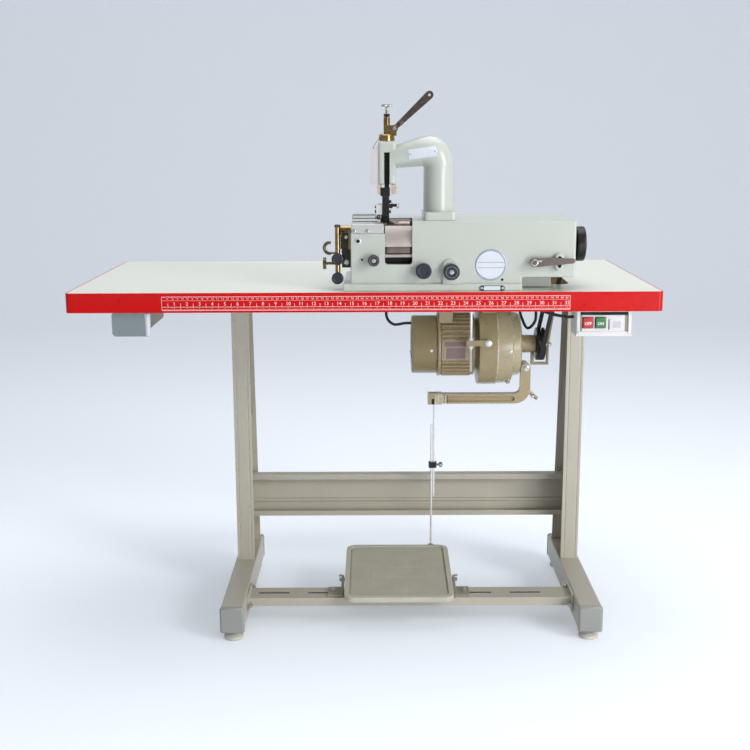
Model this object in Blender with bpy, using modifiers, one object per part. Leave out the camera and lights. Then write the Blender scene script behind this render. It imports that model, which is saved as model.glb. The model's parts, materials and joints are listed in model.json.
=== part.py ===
"""A bell-knife leather skiving machine on its bench, modelled piece by piece.

Metres, +Z up.  X runs along the table to the right, the operator stands at -Y,
and the origin is on the floor under the middle of the tabletop.
"""
import math

import bpy
import bmesh
from mathutils import Matrix, Vector

# Fits and finish
FIT = 0.0003
RUN_GAP = 0.0006
OVERRUN = 0.004
WELD_DEPTH = 0.003
MERGE = 0.00001
ARC_STEPS = 5
ROUND_STEPS = 18
FINE_STEPS = 26

# Tabletop
TABLE_WIDTH = 1.200
TABLE_DEPTH = 0.600
TABLE_THICK = 0.040
TABLE_TOP_Z = 0.760
TABLE_CORNER = 0.010
BAND_THICK = 0.0025
TABLE_UNDER_Z = TABLE_TOP_Z - TABLE_THICK

# Feet and levelling pads
LEFT_FOOT_X = -0.288
RIGHT_FOOT_X = 0.482
FOOT_WIDTH = 0.050
FOOT_HEIGHT = 0.057
FOOT_FRONT_Y = -0.278
FOOT_LENGTH = 0.470
FOOT_EDGE = 0.004
FOOT_CAP_LENGTH = 0.012
FOOT_CAP_LIP = 0.0012
PAD_HEIGHT = 0.020
PAD_RADIUS = 0.021
PAD_RIM = 0.008
PAD_INSET = 0.026
PAD_STEM_RADIUS = 0.005
PAD_STEM_REACH = 0.020
PAD_NUT_RADIUS = 0.009
PAD_NUT_HEIGHT = 0.006
PAD_EDGE = 0.002
FOOT_BOTTOM_Z = PAD_HEIGHT + FIT
FOOT_TOP_Z = FOOT_BOTTOM_Z + FOOT_HEIGHT

# Columns and their braces
COLUMN_FRONT_Y = 0.017
COLUMN_WIDTH = 0.040
COLUMN_TOP_DEPTH = 0.082
COLUMN_FOOT_DEPTH = 0.142
COLUMN_WALL = 0.003
GROOVE_INSET = 0.007
GROOVE_WIDTH = 0.003
GROOVE_DEPTH = 0.0012
RAIL_LENGTH = 0.420
RAIL_THICK = 0.005
RAIL_FRONT_Y = -0.150
RAIL_LIP = 0.002
BRACE_TOP_Z = 0.550
BRACE_FOOT_Z = 0.410
BRACE_THICK = 0.003
BRACE_WIDTH = 0.032

# Rear stretcher, a ribbed channel behind the columns
STRETCHER_TOP_Z = 0.261
STRETCHER_HEIGHT = 0.104
STRETCHER_FRONT_Y = 0.100
STRETCHER_DEPTH = 0.026
STRETCHER_WALL = 0.0025
STRETCHER_LIP = 0.011
STRETCHER_RIB_DROP = 0.064
STRETCHER_RIB_RISE = 0.006
STRETCHER_RIB_WIDTH = 0.008

# Pedal crossbar between the feet
CROSSBAR_TOP_Z = 0.066
CROSSBAR_REAR_Y = -0.134
CROSSBAR_WIDTH = 0.061
CROSSBAR_DROP = 0.019
CROSSBAR_WALL = 0.003
CROSSBAR_PLATE_THICK = 0.004
CROSSBAR_PLATE_WIDTH = 0.075
CROSSBAR_PLATE_HEIGHT = 0.038
SLOT_WIDTH = 0.006
SLOT_LENGTH = 0.070
LEFT_SLOT_INSET = 0.021
RIGHT_SLOT_INSET = 0.067
SLOT_PITCH = 0.110

# Pedal, its mat, axle and brackets
PEDAL_CENTRE_X = 0.072
PEDAL_WIDTH = 0.241
PEDAL_LENGTH = 0.278
PEDAL_TILT = math.radians(4.1)
PEDAL_CORNER = 0.022
PEDAL_PLATE = 0.005
PEDAL_RIM_WIDTH = 0.011
PEDAL_RIM_HEIGHT = 0.006
PEDAL_FRONT_REACH = 0.124
PEDAL_LIFT = 0.0055
PEDAL_RIB_WIDTH = 0.006
PEDAL_RIB_DROP = 0.0035
PEDAL_RIB_SHARES = (0.18, 0.5, 0.82)
MAT_THICK = 0.003
MAT_RIB_HEIGHT = 0.0012
MAT_RIBS = 16
AXLE_Y = -0.108
AXLE_Z = 0.0745
AXLE_RADIUS = 0.0045
AXLE_OVERHANG = 0.006
LUG_RADIUS = 0.0095
LUG_LENGTH = 0.024
BRACKET_GAP = 0.003
BRACKET_WALL = 0.005
BRACKET_FOOT = 0.034
BRACKET_FOOT_LENGTH = 0.050
BRACKET_FOOT_THICK = 0.004
BRACKET_EYE = 0.0105
EYE_SWEEP = math.radians(98.0)
ROD_EYE_RADIUS = 0.010
ROD_EYE_HEIGHT = 0.008
ROD_EYE_HOLE = 0.0048

# Clutch motor, hung under the tabletop with its axis along X
MOTOR_AXIS_Y = 0.080
MOTOR_DROP = 0.134
MOTOR_PULLEY_RADIUS = 0.0385
PULLEY_WIDTH = 0.020
NECK_LENGTH = 0.038
NECK_RADIUS = 0.021
NECK_FILLET = 0.004
COVER_RADIUS = 0.092
COVER_END_RADIUS = 0.070
COVER_LENGTH = 0.058
COVER_STEP = 0.022
COVER_SHOULDER = 0.004
COVER_DRAFT = 0.004
FLANGE_RADIUS = 0.094
FLANGE_LENGTH = 0.042
FLANGE_GROOVE = 0.0018
STATOR_LENGTH = 0.085
STATOR_RADIUS = 0.0745
FIN_DEPTH = 0.007
FIN_COUNT = 32
FIN_SHARE = 0.42
STATOR_GAP = 0.009
STATOR_SPIGOT = 0.060
END_COVER_LENGTH = 0.059
END_COVER_RADIUS = 0.068
END_COVER_EDGE = 0.010
MOTOR_SHAFT_RADIUS = 0.008
MOTOR_SHAFT_REACH = 0.030
PIVOT_DROP = 0.052
PIVOT_REACH = 0.013
PIVOT_BOSS_RADIUS = 0.011
PIVOT_BOSS_WIDTH = 0.018
PIVOT_BOSS_ROOT = 0.016
PIVOT_PIN_RADIUS = 0.004
MOTOR_PLATE_THICK = 0.008
MOTOR_PLATE_DEPTH = 0.150
SADDLE_LENGTH = 0.032
SADDLE_DEPTH = 0.100
SADDLE_FOOT = 0.058
TENSION_ROD_RADIUS = 0.003
TENSION_ROD_LENGTH = 0.180
TENSION_ROD_FRONT = 0.006
TENSION_ROD_INSET = 0.012
TENSION_NUT_RADIUS = 0.0065
TENSION_NUT_HEIGHT = 0.006
LINK_WIDTH = 0.010
LINK_HEIGHT = 0.013
LINK_LENGTH = 0.056
LINK_RISE = 0.020
GUARD_STRAP_THICK = 0.005
GUARD_STRAP_WIDTH = 0.014
GUARD_STRAP_GAP = 0.006
GUARD_STRAP_LEAN = 0.020
GUARD_CLIP_WIDTH = 0.007
GUARD_CLIP_GAP = 0.003

# Clutch lever and pull rod
LEVER_WIDTH = 0.022
LEVER_REACH = 0.213
LEVER_DROP = 0.072
LEVER_ARM_HEIGHT = 0.023
LEVER_END_HEIGHT = 0.026
LEVER_END_LENGTH = 0.030
LEVER_TAIL = 0.012
LEVER_ELBOW_REACH = 0.036
LEVER_OFFSET = 0.028
LEVER_CHEEK_INSET = 0.003
LEVER_HEAD_RADIUS = 0.012
LEVER_RECESS = 0.006
LEVER_RECESS_WALL = 0.005
LEVER_SCREW_RADIUS = 0.003
LEVER_SCREW_LENGTH = 0.040
LEVER_SCREW_ANGLE = math.radians(40.0)
LEVER_SLOT_WIDTH = 0.009
ROD_RADIUS = 0.0025
ROD_HOOK_REACH = 0.0085
ROD_SPACING = 0.0056
UPPER_ROD_LENGTH = 0.240
ROD_TAIL = 0.014
LOWER_ROD_OVERLAP = 0.176
CLAMP_DROP = 0.162
CLAMP_HEIGHT = 0.014
CLAMP_DEPTH = 0.012
CLAMP_WALL = 0.004
CLAMP_SCREW_RADIUS = 0.003
CLAMP_SCREW_LENGTH = 0.018

# Switch box and drawer
SWITCH_LEFT_X = 0.429
SWITCH_WIDTH = 0.112
SWITCH_HEIGHT = 0.050
SWITCH_DEPTH = 0.062
SWITCH_FRONT_Y = -0.285
SWITCH_EDGE = 0.003
SWITCH_RIM = 0.007
SWITCH_RECESS = 0.0025
BUTTON_WIDTH = 0.021
BUTTON_HEIGHT = 0.022
BUTTON_INSET = 0.006
BUTTON_PITCH = 0.0255
BUTTON_PROUD = 0.0045
BUTTON_DEPTH = 0.012
BUTTON_TRAVEL = 0.004
BUTTON_EDGE = 0.001
DRAWER_LEFT_X = -0.512
DRAWER_WIDTH = 0.075
DRAWER_LENGTH = 0.255
DRAWER_FRONT_Y = -0.281
DRAWER_HEIGHT = 0.050
DRAWER_WALL = 0.0025
DRAWER_TAPER = 0.006
DRAWER_FACE = 0.003
DRAWER_FACE_CORNER = 0.008
RUNNER_SHEET = 0.0015
RUNNER_LIP = 0.0065
RUNNER_GAP = 0.0008

# Head casting and its base
HEAD_LEFT_X = -0.027
HEAD_LENGTH = 0.452
HEAD_FRONT_Y = -0.277
HEAD_DEPTH = 0.222
HEAD_HEIGHT = 0.140
HEAD_EDGE = 0.0035
BASE_THICK = 0.014
BASE_OVERHANG_LEFT = 0.015
BASE_OVERHANG_FRONT = 0.008
BASE_EDGE = 0.002
BASE_TAIL_GAP = 0.019
BASE_TAIL_INSET = 0.045
BASE_TAIL_HEIGHT = 0.022
HOOD_LENGTH = 0.107
HOOD_CLEARANCE = 0.026
HOOD_WALL = 0.007
HOOD_MOUTH_RADIUS = 0.047
AXIS_SETBACK = 0.062
HEAD_TOP_Z = TABLE_TOP_Z + HEAD_HEIGHT
BOSS_RADIUS = 0.0163
BOSS_OFFSET = 0.2006
BOSS_DROP = 0.092
BOSS_PROUD = 0.007

# Knife, guard and window
KNIFE_RADIUS = 0.052
KNIFE_LENGTH = 0.050
KNIFE_WALL = 0.0025
KNIFE_BEVEL = 0.0015
KNIFE_BACK = 0.008
KNIFE_BACK_EDGE = 0.003
KNIFE_HUB_RADIUS = 0.020
KNIFE_HUB_DEPTH = 0.008
KNIFE_BEHIND_WINDOW = 0.0042
KNIFE_AIR = 0.0025
CHAMBER_FRONT_GAP = 0.004
GUARD_WALL = 0.002
GUARD_TOP_ANGLE = math.radians(46.0)
GUARD_SLOT_TOP_ANGLE = math.radians(2.0)
GUARD_SLOT_FOOT_ANGLE = math.radians(-16.3)
GUARD_FOOT_ANGLE = math.radians(-20.4)
GUARD_STILE = 0.004
GUARD_BEAD_RADIUS = 0.0024
WINDOW_INSET = 0.0688
WINDOW_WIDTH = 0.0552
WINDOW_HEIGHT = 0.087
WINDOW_CORNER = 0.006
THROAT_DROP = 0.025
THROAT_DEPTH = 0.210
THROAT_TOP_DROP = 0.0065
THROAT_INSET = 0.002
THROAT_GROOVE = 0.0015
THROAT_GROOVE_WIDTH = 0.004
THROAT_GROOVES = 7
THROAT_GROOVE_PITCH = 0.026
THROAT_GROOVE_START = 0.022
THROAT_EDGE = 0.0008
CHAMBER_STEPS = 40
GUARD_STEPS = 8
KNIFE_STEPS = 40
KNIFE_LAND = 0.0005

# Main shaft, handwheel and drive belt
SHAFT_RADIUS = 0.010
SHAFT_COLLAR_RADIUS = 0.014
SHAFT_COLLAR_LENGTH = 0.010
HANDWHEEL_RADIUS = 0.0355
HANDWHEEL_WIDTH = 0.0195
HANDWHEEL_GAP = 0.007
HANDWHEEL_EDGE = 0.004
HANDWHEEL_DISH = 0.008
HANDWHEEL_RIM = 0.009
HANDWHEEL_HUB_RADIUS = 0.014
HEAD_PULLEY_RADIUS = 0.036
BELT_INSET = 0.017
BELT_WIDTH = 0.010
BELT_THICK = 0.007
BELT_TAPER = 0.0022
GROOVE_GAP = 0.0007
GROOVE_FLOOR = 0.0012
BELT_SLOT_MARGIN = 0.008
BELT_SLOT_WIDTH = 0.046

# Feed roller, sharpening stone and the side bracket
ROLLER_RADIUS = 0.018
ROLLER_LENGTH = 0.036
ROLLER_INSIDE = 0.014
ROLLER_GAP = 0.003
ROLLER_SHAFT_RADIUS = 0.005
ROLLER_SHAFT_OUT = 0.014
ROLLER_AIR = 0.001
ROLLER_EDGE = 0.001
STONE_RADIUS = 0.015
STONE_LENGTH = 0.012
STONE_DROP = 0.037
STONE_SETBACK = 0.018
STONE_AIR = 0.001
STONE_SHAFT_RADIUS = 0.004
STONE_SHAFT_LENGTH = 0.026
SIDE_PLATE_THICK = 0.018
SIDE_PLATE_FRONT = 0.030
SIDE_PLATE_DEPTH = 0.034
SIDE_PLATE_TOP_DROP = 0.024
SIDE_PLATE_WAIST_DROP = 0.056
SIDE_PLATE_SHOULDER_DROP = 0.074
SIDE_PLATE_FOOT_DROP = 0.096
SIDE_WAIST_DEPTH = 0.018
POST_RADIUS = 0.0052
POST_SETBACK = 0.031
POST_OUT = 0.0268
POST_TOP_DROP = 0.012
POST_FOOT_DROP = 0.122
YOKE_RADIUS = 0.0105
KNUCKLE_RADIUS = 0.008
KNUCKLE_LENGTH = 0.016
POST_FLOOR = 0.003
SIDE_KNOB_RADIUS = 0.0122
SIDE_KNOB_WIDTH = 0.012
SIDE_KNOB_STANDOFF = 0.004
SIDE_KNOB_STEM = 0.0035
UPPER_KNOB_DROP = 0.077
LOWER_KNOB_DROP = 0.1155
WING_SCREW_DROP = 0.087
WING_SCREW_RADIUS = 0.003
WING_SCREW_LENGTH = 0.024
WING_HEAD_RADIUS = 0.012
WING_HEAD_WIDTH = 0.006
HOOK_RADIUS = 0.0022
HOOK_BEND = 0.011
HOOK_DROP = 0.056

# Front knobs
KNOB_A_OFFSET = 0.0464
KNOB_A_DROP = 0.0769
KNOB_A_RADIUS = 0.0115
KNOB_B_OFFSET = 0.146
KNOB_B_DROP = 0.0982
KNOB_B_RADIUS = 0.016
KNOB_C_OFFSET = 0.2018
KNOB_C_DROP = 0.1002
KNOB_C_RADIUS = 0.0165
KNOB_WIDTH = 0.0152
KNOB_STANDOFF = 0.0078
KNOB_STEM_RADIUS = 0.005
KNOB_EDGE = 0.0015
KNOB_BORE_DEPTH = 0.014
KNOB_DISH = 0.0012
KNOB_DISH_SHARE = 0.55

# Stone lever and its rest on the front of the hood
STONE_LEVER_OFFSET = 0.367
STONE_LEVER_DROP = 0.082
STONE_LEVER_LENGTH = 0.0765
STONE_LEVER_HUB = 0.0095
STONE_LEVER_TIP = 0.005
STONE_LEVER_TIP_RISE = 0.0027
STONE_LEVER_THICK = 0.006
STONE_LEVER_STANDOFF = 0.012
STONE_LEVER_BOLT = 0.005
STONE_LEVER_BOLT_PROUD = 0.004
REST_OFFSET = 0.418
REST_WIDTH = 0.018
REST_HEIGHT = 0.034
REST_PROUD = 0.0115
REST_EDGE = 0.002

# Arm and presser housing, one casting
ARM_OFFSET = 0.1795
ARM_RADIUS = 0.0315
ARM_DEEPEN = 1.14
ARM_MIDDLE_RADIUS = 0.0285
ARM_END_RADIUS = 0.0205
ARM_DETAIL = 5
ARM_BEND_RADIUS = 0.034
ARM_APEX_HEIGHT = 0.166
ARM_SLOPE = math.radians(11.0)
ARM_BEND_STEPS = 9
ARM_CORNER_FULL = 0.0085
ARM_CORNER_LATE = 1.4
ARM_COLLAR_WIDTH = 0.066
ARM_COLLAR_DEPTH = 0.112
ARM_COLLAR_HEIGHT = 0.016
ARM_COLLAR_CORNER = 0.009
HOUSING_WIDTH = 0.036
HOUSING_DEPTH = 0.040
HOUSING_FOOT_HEIGHT = 0.070
HOUSING_TOP_HEIGHT = 0.156
HOUSING_EDGE = 0.006
FORK_DROP = 0.020
FORK_WIDTH = 0.008
FORK_DEPTH = 0.016
PRESS_SLOT_WIDTH = 0.0112
PRESS_SLOT_HEIGHT = 0.064

# Presser bar, foot, pressure screw and lift lever
PRESS_OFFSET = 0.0735
BAR_WIDTH = 0.0095
BAR_DEPTH = 0.018
BAR_FOOT_HEIGHT = 0.012
BAR_TOP_HEIGHT = 0.140
BAR_LIFT = 0.006
BAR_AIR = 0.001
FOOT_SOLE_WIDTH = 0.012
FOOT_SOLE_LENGTH = 0.030
FOOT_SOLE_HEIGHT = 0.0065
FOOT_BLOCK_WIDTH = 0.014
FOOT_BLOCK_HEIGHT = 0.008
FOOT_BLOCK_DEPTH = 0.016
FOOT_BLOCK_RISE = 0.0115
FOOT_SCREW_RADIUS = 0.003
FOOT_SCREW_LENGTH = 0.024
FOOT_SCREW_HEAD = 0.006
FOOT_SCREW_HEAD_WIDTH = 0.004
SOLE_EDGE = 0.0015
COLLAR_RADIUS = 0.016
COLLAR_HEIGHT = 0.013
COLLAR_EDGE = 0.002
CAM_BLOCK_WIDTH = 0.026
CAM_BLOCK_DEPTH = 0.020
CAM_BLOCK_HEIGHT = 0.018
CAM_BLOCK_SHIFT = 0.007
CAM_SLOT_WIDTH = 0.0065
SLEEVE_RADIUS = 0.0065
SLEEVE_HEIGHT = 0.016
PRESSURE_ROD_RADIUS = 0.003
PRESSURE_ROD_RISE = 0.019
PRESSURE_HEAD_RADIUS = 0.011
PRESSURE_HEAD_HEIGHT = 0.006
PRESSURE_NUT_RADIUS = 0.0062
PRESSURE_NUT_HEIGHT = 0.006
LIFT_PIVOT_SHIFT = 0.0155
LIFT_PIVOT_RISE = 0.0115
LIFT_LENGTH = 0.096
LIFT_ANGLE = math.radians(43.0)
LIFT_ROOT_WIDTH = 0.009
LIFT_TIP_WIDTH = 0.017
LIFT_THICK = 0.005
LIFT_HOLE_RADIUS = 0.0025
LIFT_HUB_RADIUS = 0.0075
LIFT_PIN_RADIUS = 0.0025
LIFT_AIR = 0.001

# Supply cable
CABLE_RADIUS = 0.0033
CABLE_STEP = 0.020
CABLE_START_Y = -0.250
CABLE_START_Z = 0.702
CABLE_ENTRY_RISE = 0.050
CABLE_LEAD = 0.014
CABLE_ROUTE = (
    (0.4130, -0.2500, 0.7020),
    (0.3800, -0.2250, 0.7060),
    (0.3640, -0.1500, 0.7110),
    (0.3720, -0.0600, 0.7110),
    (0.3850, 0.0000, 0.6900),
    (0.3900, 0.0350, 0.6480),
    (0.3780, 0.0750, 0.6240),
    (0.3690, 0.1150, 0.6420),
    (0.3620, 0.1420, 0.6720),
    (0.3480, 0.1600, 0.6960),
    (0.3150, 0.1720, 0.7090),
    (0.2400, 0.1740, 0.7110),
    (0.1500, 0.1720, 0.7110),
    (0.0900, 0.1600, 0.7100),
    (0.0560, 0.1250, 0.6900),
    (0.0480, 0.0980, 0.6520),
    (0.0640, 0.0840, 0.6330),
)

# Places worked out from the sizes above
HEAD_RIGHT_X = HEAD_LEFT_X + HEAD_LENGTH
HOOD_LEFT_X = HEAD_RIGHT_X - HOOD_LENGTH
HEAD_BACK_Y = HEAD_FRONT_Y + HEAD_DEPTH
AXIS_Y = HEAD_FRONT_Y + AXIS_SETBACK
AXIS_Z = HEAD_TOP_Z - KNIFE_RADIUS
WINDOW_LEFT_X = HEAD_LEFT_X + WINDOW_INSET
WINDOW_RIGHT_X = WINDOW_LEFT_X + WINDOW_WIDTH
KNIFE_EDGE_X = WINDOW_LEFT_X + KNIFE_BEHIND_WINDOW
KNIFE_BACK_X = KNIFE_EDGE_X + KNIFE_LENGTH
GUARD_INNER_RADIUS = KNIFE_RADIUS + KNIFE_AIR
GUARD_OUTER_RADIUS = GUARD_INNER_RADIUS + GUARD_WALL
CHAMBER_LEFT_X = KNIFE_EDGE_X - CHAMBER_FRONT_GAP
CHAMBER_RIGHT_X = KNIFE_BACK_X + KNIFE_AIR
THROAT_TOP_Z = HEAD_TOP_Z - THROAT_TOP_DROP
BELT_X = HEAD_RIGHT_X - BELT_INSET
MOTOR_AXIS_Z = TABLE_UNDER_Z - MOTOR_DROP
NECK_RIGHT_X = BELT_X - PULLEY_WIDTH / 2 - RUN_GAP
COVER_RIGHT_X = NECK_RIGHT_X - NECK_LENGTH
FLANGE_RIGHT_X = COVER_RIGHT_X - COVER_LENGTH
FLANGE_LEFT_X = FLANGE_RIGHT_X - FLANGE_LENGTH
STATOR_RIGHT_X = FLANGE_LEFT_X - STATOR_GAP
STATOR_LEFT_X = STATOR_RIGHT_X - STATOR_LENGTH
END_COVER_RIGHT_X = STATOR_LEFT_X - FIT
END_COVER_LEFT_X = END_COVER_RIGHT_X - END_COVER_LENGTH
PIVOT_X = COVER_RIGHT_X + PIVOT_REACH
PIVOT_Z = MOTOR_AXIS_Z - PIVOT_DROP
HOOK_X = PIVOT_X - LEVER_REACH
HOOK_Z = PIVOT_Z - LEVER_DROP
LEVER_Y = MOTOR_AXIS_Y - LEVER_OFFSET
LEVER_BACK_Y = LEVER_Y + LEVER_WIDTH / 2
COLUMN_TOP_Z = TABLE_UNDER_Z - FIT
LEFT_WEB_X = LEFT_FOOT_X - COLUMN_WIDTH / 2
RIGHT_WEB_X = RIGHT_FOOT_X + COLUMN_WIDTH / 2
ROLLER_Z = AXIS_Z + KNIFE_RADIUS - KNIFE_WALL - ROLLER_GAP - ROLLER_RADIUS
ROLLER_RIGHT_X = KNIFE_EDGE_X + ROLLER_INSIDE
ROLLER_LEFT_X = ROLLER_RIGHT_X - ROLLER_LENGTH
PRESS_X = HEAD_LEFT_X + PRESS_OFFSET
HOUSING_TOP_Z = HEAD_TOP_Z + HOUSING_TOP_HEIGHT
HOUSING_FRONT_Y = AXIS_Y - HOUSING_DEPTH / 2
COLLAR_FOOT_Z = HOUSING_TOP_Z + FIT
CAM_FOOT_Z = COLLAR_FOOT_Z + COLLAR_HEIGHT
CAM_TOP_Z = CAM_FOOT_Z + CAM_BLOCK_HEIGHT
SLEEVE_TOP_Z = CAM_TOP_Z + SLEEVE_HEIGHT
LIFT_PIVOT_X = PRESS_X + LIFT_PIVOT_SHIFT
LIFT_PIVOT_Z = CAM_FOOT_Z + LIFT_PIVOT_RISE


def begin():
    """Empty the file and make one collection for the parts and one for the cutters."""
    for thing in list(bpy.data.objects):
        bpy.data.objects.remove(thing, do_unlink=True)
    for name in ("leather_skiving_machine", "cutters"):
        group = bpy.data.collections.new(name)
        bpy.context.scene.collection.children.link(group)


def finish(name, red, green, blue, roughness, metallic=0.0):
    """A plain coating or bare material, its colour given from 0 to 1 as a screen shows it."""
    material = bpy.data.materials.new(name)
    material.use_nodes = True
    shader = material.node_tree.nodes["Principled BSDF"]
    linear = [channel ** 2.2 for channel in (red, green, blue)]
    shader.inputs["Base Color"].default_value = (*linear, 1.0)
    shader.inputs["Roughness"].default_value = roughness
    shader.inputs["Metallic"].default_value = metallic
    return material


def place(name, data, material):
    """Link a new object as a part, or as a hidden cutter when it has no material."""
    thing = bpy.data.objects.new(name, data)
    if material is None:
        bpy.data.collections["cutters"].objects.link(thing)
        thing.hide_render = True
        thing.display_type = "WIRE"
    else:
        bpy.data.collections["leather_skiving_machine"].objects.link(thing)
        data.materials.append(material)
    return thing


def block(name, low, high, material=None):
    """A box between two opposite corners."""
    shape = bmesh.new()
    bmesh.ops.create_cube(shape, size=1.0)
    low = Vector(low)
    high = Vector(high)
    bmesh.ops.scale(shape, vec=high - low, verts=shape.verts)
    mesh = bpy.data.meshes.new(name)
    shape.to_mesh(mesh)
    shape.free()
    thing = place(name, mesh, material)
    thing.location = (low + high) / 2
    return thing


def rod(name, radius, start, end, material=None, steps=ROUND_STEPS):
    """A round bar from one point to another."""
    start = Vector(start)
    end = Vector(end)
    shape = bmesh.new()
    bmesh.ops.create_cone(
        shape, cap_ends=True, segments=steps,
        radius1=radius, radius2=radius, depth=(end - start).length,
    )
    mesh = bpy.data.meshes.new(name)
    shape.to_mesh(mesh)
    shape.free()
    mesh.shade_smooth()
    mesh.set_sharp_from_angle(angle=math.radians(35.0))
    thing = place(name, mesh, material)
    thing.location = (start + end) / 2
    thing.rotation_euler = (end - start).to_track_quat("Z", "Y").to_euler()
    return thing


ALONG_X = (0.0, math.radians(90.0), 0.0)
TOWARDS_FRONT = (math.radians(90.0), 0.0, 0.0)
UPWARD = (0.0, 0.0, 0.0)


def turned(name, profile, centre, turn, material=None, steps=FINE_STEPS):
    """A turned piece: pairs of radius and height, listed down its outer side."""
    mesh = bpy.data.meshes.new(name)
    points = [(radius, 0.0, height) for radius, height in profile]
    edges = [(i, i + 1) for i in range(len(points) - 1)]
    if profile[0][0] > 0.0:
        edges.append((len(points) - 1, 0))
    mesh.from_pydata(points, edges, [])
    thing = place(name, mesh, material)
    thing.location = centre
    thing.rotation_euler = turn
    screw = thing.modifiers.new("turning", "SCREW")
    screw.steps = steps
    screw.render_steps = steps
    screw.use_merge_vertices = True
    screw.merge_threshold = MERGE
    screw.use_smooth_shade = True
    return thing


def as_mesh(curve_object, name, material):
    """Replace a curve by its surface as a mesh, with its caps welded on."""
    bpy.context.view_layer.update()
    depsgraph = bpy.context.evaluated_depsgraph_get()
    mesh = bpy.data.meshes.new_from_object(curve_object.evaluated_get(depsgraph))
    matrix = curve_object.matrix_world.copy()
    bpy.data.objects.remove(curve_object, do_unlink=True)
    shape = bmesh.new()
    shape.from_mesh(mesh)
    bmesh.ops.remove_doubles(shape, verts=shape.verts, dist=MERGE)
    shape.to_mesh(mesh)
    shape.free()
    mesh.materials.clear()
    thing = place(name, mesh, material)
    thing.matrix_world = matrix
    return thing


IN_XZ = (math.radians(90.0), 0.0, 0.0)
IN_YZ = (math.radians(90.0), 0.0, math.radians(90.0))
IN_XY = (0.0, 0.0, 0.0)


def plate(name, outlines, thickness, centre, turn, material=None):
    """A flat piece cut to closed outlines, with its thickness centred on its place."""
    curve = bpy.data.curves.new(name, "CURVE")
    curve.dimensions = "2D"
    curve.fill_mode = "BOTH"
    curve.extrude = thickness / 2
    for outline in outlines:
        spline = curve.splines.new("POLY")
        spline.points.add(len(outline) - 1)
        for point, (across, up) in zip(spline.points, outline):
            point.co = (across, up, 0.0, 1.0)
        spline.use_cyclic_u = True
    holder = bpy.data.objects.new(name, curve)
    bpy.context.scene.collection.objects.link(holder)
    holder.location = centre
    holder.rotation_euler = turn
    return as_mesh(holder, name, material)


def tube(name, points, radii, material=None, detail=2):
    """A round bar or wire along points, with a radius for each point or one for all."""
    curve = bpy.data.curves.new(name, "CURVE")
    curve.dimensions = "3D"
    curve.bevel_depth = 1.0
    curve.bevel_resolution = detail
    curve.use_fill_caps = True
    spline = curve.splines.new("POLY")
    spline.points.add(len(points) - 1)
    if isinstance(radii, float):
        radii = [radii] * len(points)
    for point, co, radius in zip(spline.points, points, radii):
        point.co = (*co, 1.0)
        point.radius = radius
    holder = bpy.data.objects.new(name, curve)
    bpy.context.scene.collection.objects.link(holder)
    return as_mesh(holder, name, material)


def bent_sheet(name, line, start, end, thickness, material, along="X"):
    """A folded sheet: the middle line of its section, run along X or along Y."""
    if along == "X":
        points = [(run, across, up) for across, up in line for run in (start, end)]
    else:
        points = [(across, run, up) for across, up in line for run in (start, end)]
    faces = [(2 * i, 2 * i + 1, 2 * i + 3, 2 * i + 2) for i in range(len(line) - 1)]
    mesh = bpy.data.meshes.new(name)
    mesh.from_pydata(points, [], faces)
    thing = place(name, mesh, material)
    skin = thing.modifiers.new("sheet", "SOLIDIFY")
    skin.thickness = thickness
    skin.offset = 0.0
    skin.use_even_offset = True
    return thing


def soften(thing, width, segments=1):
    """Round the sharp edges of a casting or a moulding."""
    bevel = thing.modifiers.new("edges", "BEVEL")
    bevel.width = width
    bevel.segments = segments
    bevel.limit_method = "ANGLE"
    bevel.angle_limit = math.radians(40.0)
    return thing


def boolean(thing, tool, operation):
    """Cut a hidden tool out of a piece, or weld it on."""
    step = thing.modifiers.new(operation.lower(), "BOOLEAN")
    step.operation = operation
    step.object = tool
    return thing


def cut(thing, tool):
    return boolean(thing, tool, "DIFFERENCE")


def weld(thing, tool):
    return boolean(thing, tool, "UNION")


def pivot(name, centre, *pieces):
    """Hang moving pieces from an empty on their joint's axis."""
    empty = bpy.data.objects.new(name, None)
    bpy.data.collections["leather_skiving_machine"].objects.link(empty)
    empty.location = centre
    inverse = Matrix.Translation(centre).inverted()
    for piece in pieces:
        tools = [mod.object for mod in piece.modifiers if mod.type == "BOOLEAN"]
        for thing in [piece] + tools:
            thing.parent = empty
            thing.matrix_parent_inverse = inverse
    return empty


def arc(centre, radius, start, end, steps=ARC_STEPS):
    """Points along an arc, its angles in radians anticlockwise from the first axis."""
    points = []
    for i in range(steps + 1):
        angle = start + (end - start) * i / steps
        points.append((centre[0] + radius * math.cos(angle), centre[1] + radius * math.sin(angle)))
    return points


def rounded_box(low, high, radius, steps=ARC_STEPS):
    """The outline of a rectangle with round corners."""
    quarter = math.pi / 2
    corners = (
        (high[0] - radius, low[1] + radius, -quarter),
        (high[0] - radius, high[1] - radius, 0.0),
        (low[0] + radius, high[1] - radius, quarter),
        (low[0] + radius, low[1] + radius, 2 * quarter),
    )
    outline = []
    for across, up, start in corners:
        outline += arc((across, up), radius, start, start + quarter, steps)
    return outline


def open_belt_path(y0, z0, r0, y1, z1, r1, steps):
    """A closed path round two pulleys, as (y, z) points, anticlockwise seen from +X."""
    span = math.hypot(y1 - y0, z1 - z0)
    lean = math.atan2(z1 - z0, y1 - y0)
    spread = math.acos((r0 - r1) / span)
    path = arc((y0, z0), r0, lean + spread, lean + 2 * math.pi - spread, steps)
    path += arc((y1, z1), r1, lean - spread, lean + spread, steps)
    return path


def clear_of(radius, gap, steps=ROUND_STEPS):
    """The radius of a faceted bore whose flats still clear a round bar."""
    return (radius + gap) / math.cos(math.pi / steps)


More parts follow.
